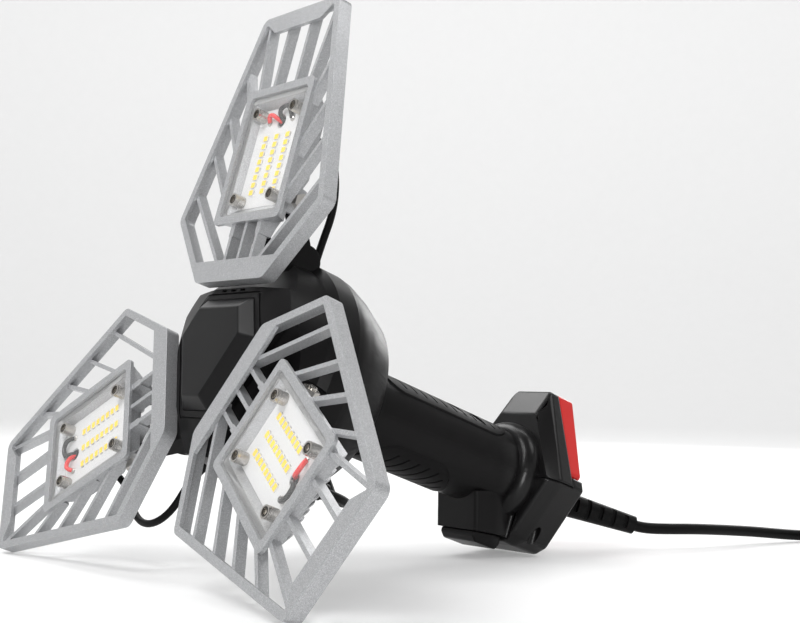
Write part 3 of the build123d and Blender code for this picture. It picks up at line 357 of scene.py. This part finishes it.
def new_group(name, inputs, outputs):
    """A shader node group with float or colour sockets, and its two ends inside."""
    group = bpy.data.node_groups.new(name, "ShaderNodeTree")
    for socket, value in inputs.items():
        kind = "NodeSocketColor" if isinstance(value, tuple) else "NodeSocketFloat"
        made = group.interface.new_socket(name=socket, in_out="INPUT", socket_type=kind)
        made.default_value = value
    for socket, kind in outputs.items():
        group.interface.new_socket(name=socket, in_out="OUTPUT", socket_type=kind)
    return group, add_node(group, "NodeGroupInput"), add_node(group, "NodeGroupOutput")


def sized(group, given, texture):
    """Gives a texture Object coordinates, and 1 divided by the group's Size as its scale."""
    place = add_node(group, "ShaderNodeTexCoord")
    closeness = add_node(group, "ShaderNodeMath", operation="DIVIDE")
    closeness.inputs[0].default_value = 1
    group.links.new(given.outputs["Size"], closeness.inputs[1])
    group.links.new(closeness.outputs[0], texture.inputs["Scale"])
    group.links.new(place.outputs["Object"], texture.inputs["Vector"])
    return place.outputs["Object"]


def between(group, given, first, second, share):
    """Colour between two of the group's inputs, by a share from 0 to 1."""
    blend = add_node(group, "ShaderNodeMix", data_type="RGBA")
    group.links.new(share, blend.inputs["Factor"])
    group.links.new(given.outputs[first], blend.inputs["A"])
    group.links.new(given.outputs[second], blend.inputs["B"])
    return blend.outputs["Result"]


print("node groups so far", len(bpy.data.node_groups))

# %% Build the fine grain
mottling_scale = 38.0
gloss_spread = 0.22
grain_group, given, sent = new_group(
    "fine_grain",
    {"Size": 0.0004, "Dark": (0.02, 0.02, 0.02, 1), "Light": (0.04, 0.04, 0.04, 1), "Gloss": 0.5},
    {"Colour": "NodeSocketColor", "Roughness": "NodeSocketFloat", "Height": "NodeSocketFloat"},
)
fine = add_node(grain_group, "ShaderNodeTexNoise", Detail=3.0, Roughness=0.6)
broad = add_node(
    grain_group, "ShaderNodeTexNoise", Scale=mottling_scale, Detail=4.0, Roughness=0.55
)
place = sized(grain_group, given, fine)
colour = between(grain_group, given, "Dark", "Light", broad.outputs["Fac"])
gloss = add_node(grain_group, "ShaderNodeMath", operation="MULTIPLY_ADD")
gloss.inputs[1].default_value = gloss_spread
links = grain_group.links
links.new(place, broad.inputs["Vector"])
links.new(colour, sent.inputs["Colour"])
links.new(broad.outputs["Fac"], gloss.inputs[0])
links.new(given.outputs["Gloss"], gloss.inputs[2])
links.new(gloss.outputs[0], sent.inputs["Roughness"])
links.new(fine.outputs["Fac"], sent.inputs["Height"])
print(grain_group.name, "nodes", len(grain_group.nodes))

# %% Build the metal flakes
flake_group, given, sent = new_group(
    "metal_flakes",
    {"Size": 0.00025, "Base": (0.5, 0.5, 0.5, 1), "Flake": (0.8, 0.8, 0.8, 1), "Share": 0.2},
    {"Colour": "NodeSocketColor", "Mask": "NodeSocketFloat"},
)
cells = add_node(flake_group, "ShaderNodeTexVoronoi")
sized(flake_group, given, cells)
one = add_node(flake_group, "ShaderNodeSeparateColor")
picked = add_node(flake_group, "ShaderNodeMath", operation="LESS_THAN")
colour = between(flake_group, given, "Base", "Flake", picked.outputs[0])
links = flake_group.links
links.new(cells.outputs["Color"], one.inputs["Color"])
links.new(one.outputs["Red"], picked.inputs[0])
links.new(given.outputs["Share"], picked.inputs[1])
links.new(colour, sent.inputs["Colour"])
links.new(picked.outputs[0], sent.inputs["Mask"])
print(flake_group.name, "nodes", len(flake_group.nodes))

# %% [markdown]
# ## Finishes
# A finish is a Principled shader whose colour and roughness come from the shared groups, and
# whose plain numbers are set on its own sockets. One helper makes nearly all of them, because
# plastic, rubber, painted boards and turned metal differ only in colour, gloss and grain.

# %% Helpers for finishes
grain_depth = 0.00005


def bare_material(name, **values):
    """A material with its Principled shader's sockets set by name, with _ for a space."""
    material = bpy.data.materials.new(name)
    material.use_nodes = True
    shader = material.node_tree.nodes["Principled BSDF"]
    for socket, value in values.items():
        shader.inputs[socket.replace("_", " ")].default_value = value
    return material, material.node_tree, shader


def roughened(tree, shader, grain, strength, distance):
    """Joins a grain to a shader: its roughness as it is, and its height as a bump."""
    tree.links.new(grain.outputs["Roughness"], shader.inputs["Roughness"])
    relief = add_node(tree, "ShaderNodeBump", Strength=strength, Distance=distance)
    tree.links.new(grain.outputs["Height"], relief.inputs["Height"])
    tree.links.new(relief.outputs["Normal"], shader.inputs["Normal"])


def grained(name, dark, light, gloss, size=0.0004, bump=0.1, **values):
    """A moulded or sprayed finish: grain as colour, roughness and bump."""
    material, tree, shader = bare_material(name, **values)
    grain = add_node(tree, "ShaderNodeGroup", node_tree=grain_group)
    grain.inputs["Size"].default_value = size
    grain.inputs["Dark"].default_value = (*dark, 1)
    grain.inputs["Light"].default_value = (*light, 1)
    grain.inputs["Gloss"].default_value = gloss
    tree.links.new(grain.outputs["Colour"], shader.inputs["Base Color"])
    roughened(tree, shader, grain, bump, grain_depth)
    return material


print("depth of the grain", grain_depth)

# %% [markdown]
# ### Silver paint
# The heads are sprayed with satin silver paint: fine metal flakes in grey, with a slow change
# of gloss and a fine bump. A pure metal would look like a mirror, so the paint is only partly
# metallic, and three cells in ten are a lighter flake.

# %% Mix the silver paint
silver, tree, shader = bare_material("silver_paint", Metallic=0.6)
flakes = add_node(tree, "ShaderNodeGroup", node_tree=flake_group)
flakes.inputs["Size"].default_value = 0.00018
flakes.inputs["Base"].default_value = (0.37, 0.375, 0.385, 1)
flakes.inputs["Flake"].default_value = (0.56, 0.565, 0.575, 1)
flakes.inputs["Share"].default_value = 0.3
tree.links.new(flakes.outputs["Colour"], shader.inputs["Base Color"])
grain = add_node(tree, "ShaderNodeGroup", node_tree=grain_group)
grain.inputs["Size"].default_value = 0.0005
grain.inputs["Gloss"].default_value = 0.3
roughened(tree, shader, grain, 0.16, 0.00006)
print(silver.name, "nodes", len(tree.nodes))

# %% [markdown]
# ### Black plastic and rubber
# Black moulded plastic is matt with a fine texture, and rubber is duller still. The foot
# shines more, so the plastic has a clear coat that sets in past the handle: a Map Range node
# turns the place along the light into the weight of the coat.

# %% Mix the black finishes
dull = {"Specular_IOR_Level": 0.11}
black_moulding = grained(
    "black_moulding", (0.004, 0.0038, 0.004), (0.007, 0.0067, 0.007), 0.24, bump=0.2, **dull
)
button_moulding = grained(
    "button_moulding", (0.003, 0.0029, 0.0031), (0.006, 0.0058, 0.0062), 0.26, bump=0.35,
    Specular_IOR_Level=0.17,
)
rubber = grained(
    "rubber", (0.003, 0.0028, 0.003), (0.006, 0.0057, 0.006), 0.42, size=0.0003, bump=0.2, **dull
)
jacket = grained(
    "jacket", (0.002, 0.002, 0.002), (0.004, 0.004, 0.004), 0.36, size=0.0006, bump=0.12, **dull
)
black_lead = grained("black_lead", (0.008, 0.008, 0.008), (0.014, 0.014, 0.014), 0.24, bump=0.06)
print("materials so far", len(bpy.data.materials))

# %% Polish the foot
coat_range = {"From Min": 0.056, "From Max": 0.066, "To Min": 0.0, "To Max": 0.3}
tree = black_moulding.node_tree
shader = tree.nodes["Principled BSDF"]
place = add_node(tree, "ShaderNodeTexCoord")
parts = add_node(tree, "ShaderNodeSeparateXYZ")
polish = add_node(tree, "ShaderNodeMapRange", **coat_range)
tree.links.new(place.outputs["Object"], parts.inputs["Vector"])
tree.links.new(parts.outputs["Y"], polish.inputs["Value"])
tree.links.new(polish.outputs["Result"], shader.inputs["Coat Weight"])
shader.inputs["Coat Roughness"].default_value = 0.22
print("coat", coat_range)

# %% [markdown]
# ### Colours, boards and metals
# The end pad is bright red plastic. An LED package is a cream frame with a deep yellow face,
# on a board with a white mask. The gasket is grey, and the screws and the solder are nickel.
# The dark metal ring on the rim of each screw's socket is painted shade, standing in for the
# shadow in the socket. The cover is clear, so it keeps a plain low Alpha instead of a grain.

# %% Mix the other finishes
red_moulding = grained(
    "red_moulding", (0.54, 0.014, 0.012), (0.6, 0.018, 0.015), 0.2, bump=0.08,
    Specular_IOR_Level=0.3,
)
red_lead = grained("red_lead", (0.62, 0.012, 0.012), (0.72, 0.02, 0.018), 0.24, bump=0.06)
white_mask = grained("white_mask", (0.6, 0.6, 0.6), (0.65, 0.65, 0.65), 0.3, bump=0.04)
green_mask = grained("green_mask", (0.01, 0.09, 0.04), (0.02, 0.13, 0.06), 0.3, bump=0.1)
chip_body = grained("chip_body", (0.68, 0.66, 0.6), (0.74, 0.72, 0.66), 0.3, bump=0.03)
phosphor = grained(
    "phosphor", (0.88, 0.58, 0.04), (0.93, 0.67, 0.06), 0.4, size=0.00015, bump=0.2
)
sealant = grained("sealant", (0.3, 0.3, 0.3), (0.36, 0.36, 0.36), 0.2, bump=0.1)
nickel = grained("nickel", (0.42, 0.4, 0.37), (0.6, 0.58, 0.55), 0.16, bump=0.15, Metallic=1.0)
contact = grained("contact", (0.62, 0.6, 0.56), (0.7, 0.68, 0.63), 0.12, bump=0.04, Metallic=1.0)
# Dark metal, used only for the painted shade round the screws' sockets.
dark_metal = grained("dark_metal", (0.03, 0.028, 0.025), (0.05, 0.047, 0.042), 0.3, Metallic=1.0)
clear_cover = bare_material(
    "clear_cover", Roughness=0.03, IOR=1.45, Alpha=0.045, Base_Color=(1, 1, 1, 1)
)[0]
print("materials", len(bpy.data.materials))

# %% [markdown]
# ## Dress the CAD nodes
# A moulded or cast edge is never sharp: it catches the light as a thin line. So the larger
# nodes are copied, their triangles merged back into flat faces, and a narrow bevel rounds the
# edges. The copies stand for the nodes. Small nodes keep their own mesh and get a material.

# %% Give each slot its finish and each larger node its edge width
material_of_slot = {
    "silver_casting": silver,
    "clear_lens": clear_cover,
    "white_board": white_mask,
    "led_phosphor": chip_body,
    "bright_steel": nickel,
    "plug_metal": contact,
    "black_plastic": black_moulding,
    "button_plastic": button_moulding,
    "soft_rubber": rubber,
    "red_plastic": red_moulding,
    "green_board": green_mask,
    "wire_insulation": red_lead,
    "cable_jacket": jacket,
}
edge_widths = {
    "head_1_casting": 0.0007,
    "head_2_casting": 0.0007,
    "head_3_casting": 0.0007,
    "arm_1": 0.0006,
    "arm_2": 0.0006,
    "arm_3": 0.0006,
    "hub_front_shell": 0.0006,
    "hub_rear_shell": 0.0004,
    "power_button": 0.0007,
    "handle_upper_shell": 0.0005,
    "handle_lower_shell": 0.0005,
    "grip_upper": 0.0004,
    "grip_lower": 0.0004,
    "red_pad": 0.0009,
    "underside_plate": 0.0008,
    "strain_relief": 0.0005,
}
for name, node in nodes.items():
    finish = sealant if name.endswith("gasket") else material_of_slot[slot_of_node[name]]
    node.data.materials.clear()
    node.data.materials.append(finish)
for cable in [mains_cord, *head_cables]:
    cable.data.materials.append(jacket)
print("slots", len(material_of_slot), "nodes to round", len(edge_widths))

# %% Merge a copy and measure its edges
joining_distance = 0.000002
flat_turn = radians(0.4)
sharp_turn = radians(20)


def merged_copy(node):
    """A node's mesh with its loose triangles joined and flat faces made whole."""
    mesh = nodes[node].data.copy()
    work = bmesh.new()
    work.from_mesh(mesh)
    bmesh.ops.remove_doubles(work, verts=work.verts, dist=joining_distance)
    bmesh.ops.dissolve_limit(work, angle_limit=flat_turn, verts=work.verts, edges=work.edges)
    work.to_mesh(mesh)
    work.free()
    return mesh


def edge_turns(mesh):
    """Cosine of the turn at each edge, from the length of its two faces' normals added up."""
    edge_of_corner = np.zeros(len(mesh.loops), int)
    mesh.loops.foreach_get("edge_index", edge_of_corner)
    normals = np.zeros(len(mesh.polygons) * 3)
    mesh.polygons.foreach_get("normal", normals)
    sizes = np.zeros(len(mesh.polygons), int)
    mesh.polygons.foreach_get("loop_total", sizes)
    added = np.zeros((len(mesh.edges), 3))
    np.add.at(added, edge_of_corner, np.repeat(normals.reshape(-1, 3), sizes, axis=0))
    return (added**2).sum(1) / 2 - 1


def edge_middles(mesh):
    """Middle of each edge in the lamp's own directions, and its length."""
    places = np.zeros(len(mesh.vertices) * 3)
    mesh.vertices.foreach_get("co", places)
    ends = np.zeros(len(mesh.edges) * 2, int)
    mesh.edges.foreach_get("vertices", ends)
    ends = places.reshape(-1, 3)[ends.reshape(-1, 2)]
    x, back, height = ends.mean(1).T
    back = back + stand_back
    height = height - axis_height
    along = -back * cos(elevation) + height * sin(elevation)
    length = np.linalg.norm(ends[:, 1] - ends[:, 0], axis=1)
    return x, back * sin(elevation) + height * cos(elevation), along, length


print("cosine of a sharp turn", round(cos(sharp_turn), 3))

# %% [markdown]
# ### Wider edges on the foot
# The foot's outer edges are rounder than the rest. A bevel that takes its width from each
# edge's weight does this on the same mesh. The weights come from where an edge lies, how
# sharp it is and how long it is, so that the fine ring round the neck stays as it is.

# %% Weigh the edges of the foot
foot_rounding = 0.0016
neck_radius = 0.0305
shortest_edge = 0.0055
foot_start = -0.1955
foot_levels = (-0.196, -0.203)
foot_end = -0.2103
foot_side = 0.0335
foot_top = 0.0332
foot_under = -0.032
corner_side = 0.0195
corner_under = -0.029
block_start = -0.166
block_under = -0.03


def at_level(z, level):
    """True where an edge's middle lies within half a millimetre of a level."""
    return np.abs(z - level) < 0.0005


def foot_weights(mesh):
    """1 on the long sharp outer edges of the foot, a half on those of its block, 0 elsewhere."""
    x, y, z, length = edge_middles(mesh)
    x = np.abs(x)
    outside = (x > foot_side) | (y > foot_top) | (y < foot_under)
    outside = outside | ((x > corner_side) & (y < corner_under))
    outline = at_level(z, foot_levels[0]) | at_level(z, foot_levels[1]) | (z < foot_end)
    wide = np.hypot(x, y) > neck_radius
    foot = (outline & wide) | ((z < foot_start) & outside)
    under = (y < block_under) & (z < block_start) & (z > foot_start)
    plain = (edge_turns(mesh) > cos(sharp_turn)) | (length < shortest_edge)
    return np.where(plain, 0, np.where(foot, 1, 0.5 * under))


print("foot rounding", foot_rounding)

# %% Round the edges of the larger nodes


def rounded_piece(node, width):
    """A copy of a node with narrow round edges, which stands for it."""
    mesh = merged_copy(node)
    mesh.materials.clear()
    mesh.materials.append(material_of_slot[slot_of_node[node]])
    mesh.shade_smooth()
    mesh.set_sharp_from_angle(angle=sharp_turn)
    piece = bpy.data.objects.new(f"{node}_finished", mesh)
    bpy.context.scene.collection.objects.link(piece)
    if node in ("handle_upper_shell", "handle_lower_shell"):
        weights = mesh.attributes.new("bevel_weight_edge", "FLOAT", "EDGE")
        weights.data.foreach_set("value", foot_weights(mesh))
        wide = piece.modifiers.new("round_foot", "BEVEL")
        wide.width = foot_rounding
        wide.segments = 4
        wide.limit_method = "WEIGHT"
        wide.use_clamp_overlap = False
    bevel = piece.modifiers.new("round_edges", "BEVEL")
    bevel.width = width
    bevel.segments = 2
    bevel.limit_method = "ANGLE"
    bevel.angle_limit = radians(32)
    shading = piece.modifiers.new("even_shading", "WEIGHTED_NORMAL")
    shading.keep_sharp = True
    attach(piece, body_of_node[node])
    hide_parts(node)
    return piece


finished = [rounded_piece(node, width) for node, width in edge_widths.items()]
print("rounded", len(finished))

# %% [markdown]
# ## Light-emitting faces
# Each LED package is a white frame with a yellow, slightly sunken face. The face is a rounded
# rectangle. One formula draws it, a superellipse, and an array of centres repeats it for every
# package of a head at once. The same formula, made narrow, draws nickel solder at both ends of
# each package. The thin grey line that this shows on the white board is partly this solder and
# partly painted shade, standing in for the shadow at the sides of the packages.

# %% Lay the yellow faces on the packages
board_front = -0.0059
chip_front = board_front + 0.0007
chip_first = 0.0469
chip_pitch = 0.004
chips_in_row = 8
row_pitch = 0.0095
face_half = (0.00126, 0.0016)
face_thickness = 0.0004
# Nickel strips at the packages' ends: solder, and also painted shade of the packages' sides.
solder_and_shade_half = (0.0009, 0.00016)
solder_and_shade_side = 0.00187
solder_and_shade_rise = -0.00066


def repeated_faces(number, angle, name, material, half, shift=(0, 0), rise=0.00006, rim=24):
    """Superellipse x = a cos^0.2 t, y = b sin^0.2 t moved by a shift from each package's centre."""
    t = 2 * pi * np.arange(rim) / rim
    x = np.sign(np.cos(t)) * np.abs(np.cos(t)) ** 0.2 * half[0] + shift[0]
    y = np.sign(np.sin(t)) * np.abs(np.sin(t)) ** 0.2 * half[1] + shift[1]
    u = chip_first + chip_pitch * np.arange(chips_in_row)
    v = row_pitch * np.arange(-1, 2)
    u, v = (part.reshape(-1, 1) for part in np.meshgrid(u, v, indexing="ij"))
    u, v = (u + x)[:, None], (v + y)[:, None]
    w = chip_front + np.array((rise - face_thickness, rise))[None, :, None]
    points = head_points(angle, u, v, w)
    faces = stacked_faces(2, rim, len(points))
    piece = mesh_piece(f"head_{number}_{name}", points, faces, material, False)
    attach(piece, f"head_{number}")
    return len(points)


for number, angle in enumerate(head_angles, 1):
    made = repeated_faces(number, angle, "emitting_faces", phosphor, face_half)
    # The strips at both ends are solder, and the grey line they draw is also painted shade.
    for word, side in (("left", 1), ("right", -1)):
        shift = (0, solder_and_shade_side * side)
        repeated_faces(number, angle, f"{word}_joints", nickel, solder_and_shade_half, shift, solder_and_shade_rise)
    print("head", number, "yellow faces", made)

# %% [markdown]
# ## Ends of the leads
# The cable ends in a hole of the board, and each of its two leads ends in a drop of solder.
# These are round, so a profile of radius and height turned round a middle makes them, with
# all the copies on a board in one array.

# %% Turn the drops and the cable's end


def turned_pieces(number, name, centres, profile, material, loop=True, sides=36):
    """Radius r(s) at height w(s) turned round each centre: u + r cos a, v + r sin a."""
    radius, height = np.array(profile).T / 1000
    turn = 2 * pi * np.arange(sides) / sides
    centres = np.array(centres)
    u = centres[:, 0, None, None] + np.outer(radius, np.cos(turn))
    v = centres[:, 1, None, None] + np.outer(radius, np.sin(turn))
    points = head_points(head_angles[number - 1], u, v, height[:, None])
    faces = stacked_faces(len(radius), sides, len(centres), loop)
    piece = mesh_piece(f"head_{number}_{name}", points, faces, material)
    piece.data.set_sharp_from_angle(angle=radians(35))
    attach(piece, f"head_{number}")


# Profiles are pairs of radius and height, in millimetres.
cable_end = [(1.7, -6.4), (2.3, -6.4), (2.3, -5.75), (2.0, -5.6), (1.7, -5.75)]
drop = [(0.2, -4.7), (0.9, -4.85), (1.35, -5.25), (1.5, -5.95)]
drop_spots = [(gland_at + 0.0001, side * 0.0098) for side in (1, -1)]
for number in (1, 2, 3):
    turned_pieces(number, "solder", drop_spots, drop, nickel, loop=False)
    turned_pieces(number, "cable_end", [(gland_at, 0)], cable_end, black_lead)
print("drops on each board", len(drop_spots))

# %% [markdown]
# ## Leads to the boards
# The red lead bends over to one side of its hole and the black lead swings round to the
# other. Each lead is a tube along a spline through a few places above the board, because a
# thin wire keeps the round bends that its fitter gave it.

# %% Bend the leads
lead_radius = 0.0011
# Places out, across and up from the hole in the board's front, in millimetres.
lead_ways = {
    "red": [(0, 0.9, -1.4), (0.7, 1.3, 1.4), (2.9, 4.6, 2.7), (3.0, 8.6, 2.6), (0.4, 9.6, 0.6)],
    "black": [
        (0.4, -0.9, -1.4),
        (1.6, -0.6, 1.8),
        (5.6, 0.4, 2.2),
        (6.9, -5.4, 2.6),
        (4.0, -10.0, 2.6),
        (0.2, -9.6, 0.6),
    ],
}
for number, angle in enumerate(head_angles, 1):
    for word, way in lead_ways.items():
        u, v, w = np.array(way).T / 1000
        line = spline_line(head_points(angle, gland_at + u, v, board_front + w))
        lead = tube_piece(f"head_{number}_{word}_lead", line, lead_radius)
        lead.data.materials.append(red_lead if word == "red" else black_lead)
        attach(lead, f"head_{number}")
        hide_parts(f"head_{number}_board_wires")
        print(lead.name, "points", len(line))

# %% [markdown]
# ## Screws that hold the board
# Their round heads come up through the cover. A rolled pattern on the side gives a grip, and
# a dark ring round the rim of the hexagon socket is painted shade, standing in for the shadow
# in the socket. Both are profiles turned round each screw's middle: a wave for the rolled
# side, and a flat narrow ring for the painted shade.

# %% Turn the rolled sides and the rings of painted socket shade
screw_spots = [(u, v) for u in (0.04235, 0.0868) for v in (0.0158, -0.0158)]
waves = 7
s = np.linspace(0, 1, 8 * waves + 1)
wave = np.stack((3.02 + 0.04 * (1 - np.cos(2 * waves * pi * s)), -5.85 + 4.4 * s), -1)
rolled_side = np.concatenate((wave, [(2.9, -1.5), (2.9, -5.8)]))
# A flat dark ring on the socket's rim: painted shade, standing in for the shadow in the socket.
socket_shade_profile = [
    (1.62, -0.14),
    (1.62, -0.06),
    (1.75, -0.03),
    (2.1, -0.03),
    (2.2, -0.06),
    (2.2, -0.14),
]
for number in (1, 2, 3):
    turned_pieces(number, "rolled_sides", screw_spots, rolled_side, nickel)
    turned_pieces(number, "painted_socket_shade", screw_spots, socket_shade_profile, dark_metal)
print("turned", len(rolled_side), "rings on each screw")

# %% [markdown]
# ## Button's spring
# Pressing the button shortens the real spring. Here the spring is a copy of the CAD spring with
# a mesh of its own, because a CAD node's own mesh never changes, and the copy keeps the CAD shape.

# %% Copy the spring
spring_mesh = nodes["button_spring"].data.copy()
spring = bpy.data.objects.new("return_spring", spring_mesh)
bpy.context.scene.collection.objects.link(spring)
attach(spring, "hub_and_handle")
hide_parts("button_spring")
lamp_points(0, 0, 1) - lamp_points(0, 0, 0)
lamp_points(0, 0, -0.017)
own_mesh(spring)
print("spring points", len(spring_mesh.vertices))

# %% [markdown]
# ## Floor and light
# The studio has a pale floor that curves up into a wall all round, so no horizon shows from
# any side. Its side view is a flat run, a quarter circle and an upright run, turned round the
# light as a wide bowl. Soft lamps stand above it, and a faint glow of the bowl fills the
# shadows as bounced light does.

# %% Build the bowl
middle_radius = 0.03
flat_run = 2.37
bend_centre = 2.4
flat_share = 0.35
bend_share = 0.4


def bowl_points(rows=44, columns=64):
    """Radius and height along the side view: flat to 2.4 m, a quarter circle of 1 m, 1 m up."""
    s = np.linspace(0, 1, rows)
    flat = s < flat_share
    bend = np.clip((s - flat_share) / bend_share, 0, 1) * pi / 2
    floor = middle_radius + flat_run * s / flat_share
    radius = np.where(flat, floor, bend_centre + np.sin(bend))[:, None]
    height = (np.where(flat, 0, 1 - np.cos(bend)) + 4 * np.clip(s - 0.75, 0, 1))[:, None]
    a = 2 * pi * np.arange(columns) / columns
    return np.stack((radius * np.cos(a), radius * np.sin(a), height + 0 * a), -1)


bowl = bowl_points()
bowl_faces = grid_quads(*bowl.shape[:2]).tolist() + [list(range(bowl.shape[1]))]
pale = grained(
    "pale_backdrop", (0.6, 0.6, 0.6), (0.63, 0.63, 0.63), 0.6, size=0.002, bump=0.02,
    Emission_Color=(1, 1, 1, 1), Emission_Strength=0.24,
)
mesh_piece("backdrop", bowl, bowl_faces, pale)
print("bowl", bowl.shape)

# %% Hang the lamps


def lamp(name, place, target, size, power):
    """A square area lamp at a place, turned to face a target."""
    data = bpy.data.lights.new(name, "AREA")
    data.shape = "SQUARE"
    data.size = size
    data.energy = power
    piece = bpy.data.objects.new(name, data)
    piece.location = place
    aim = Vector(target) - Vector(place)
    piece.rotation_euler = aim.to_track_quat("-Z", "Y").to_euler()
    bpy.context.scene.collection.objects.link(piece)


light_middle = (0, 0, 0.12)
wall_behind = (-2.6, 2.0, 0.8)
lamp("key", (0.0, -0.85, 1.25), light_middle, 0.7, 14)
lamp("front_fill", (1.15, -0.95, 0.35), light_middle, 0.5, 9)
lamp("left_top", (-1.0, 0.05, 1.2), light_middle, 0.7, 8)
lamp("right_top", (0.6, 0.75, 1.3), light_middle, 0.6, 4)
lamp("back_fill", (-0.6, 1.3, 0.6), light_middle, 0.6, 5)
lamp("wash", (-0.6, 0.6, 2.2), wall_behind, 1.5, 40)
world = bpy.data.worlds.new("studio")
world.use_nodes = True
background = world.node_tree.nodes["Background"]
background.inputs["Color"].default_value = (1, 1, 1, 1)
background.inputs["Strength"].default_value = 0.22
bpy.context.scene.world = world
bpy.context.scene.view_settings.view_transform = "Standard"
print("lamps", len(bpy.data.lights))
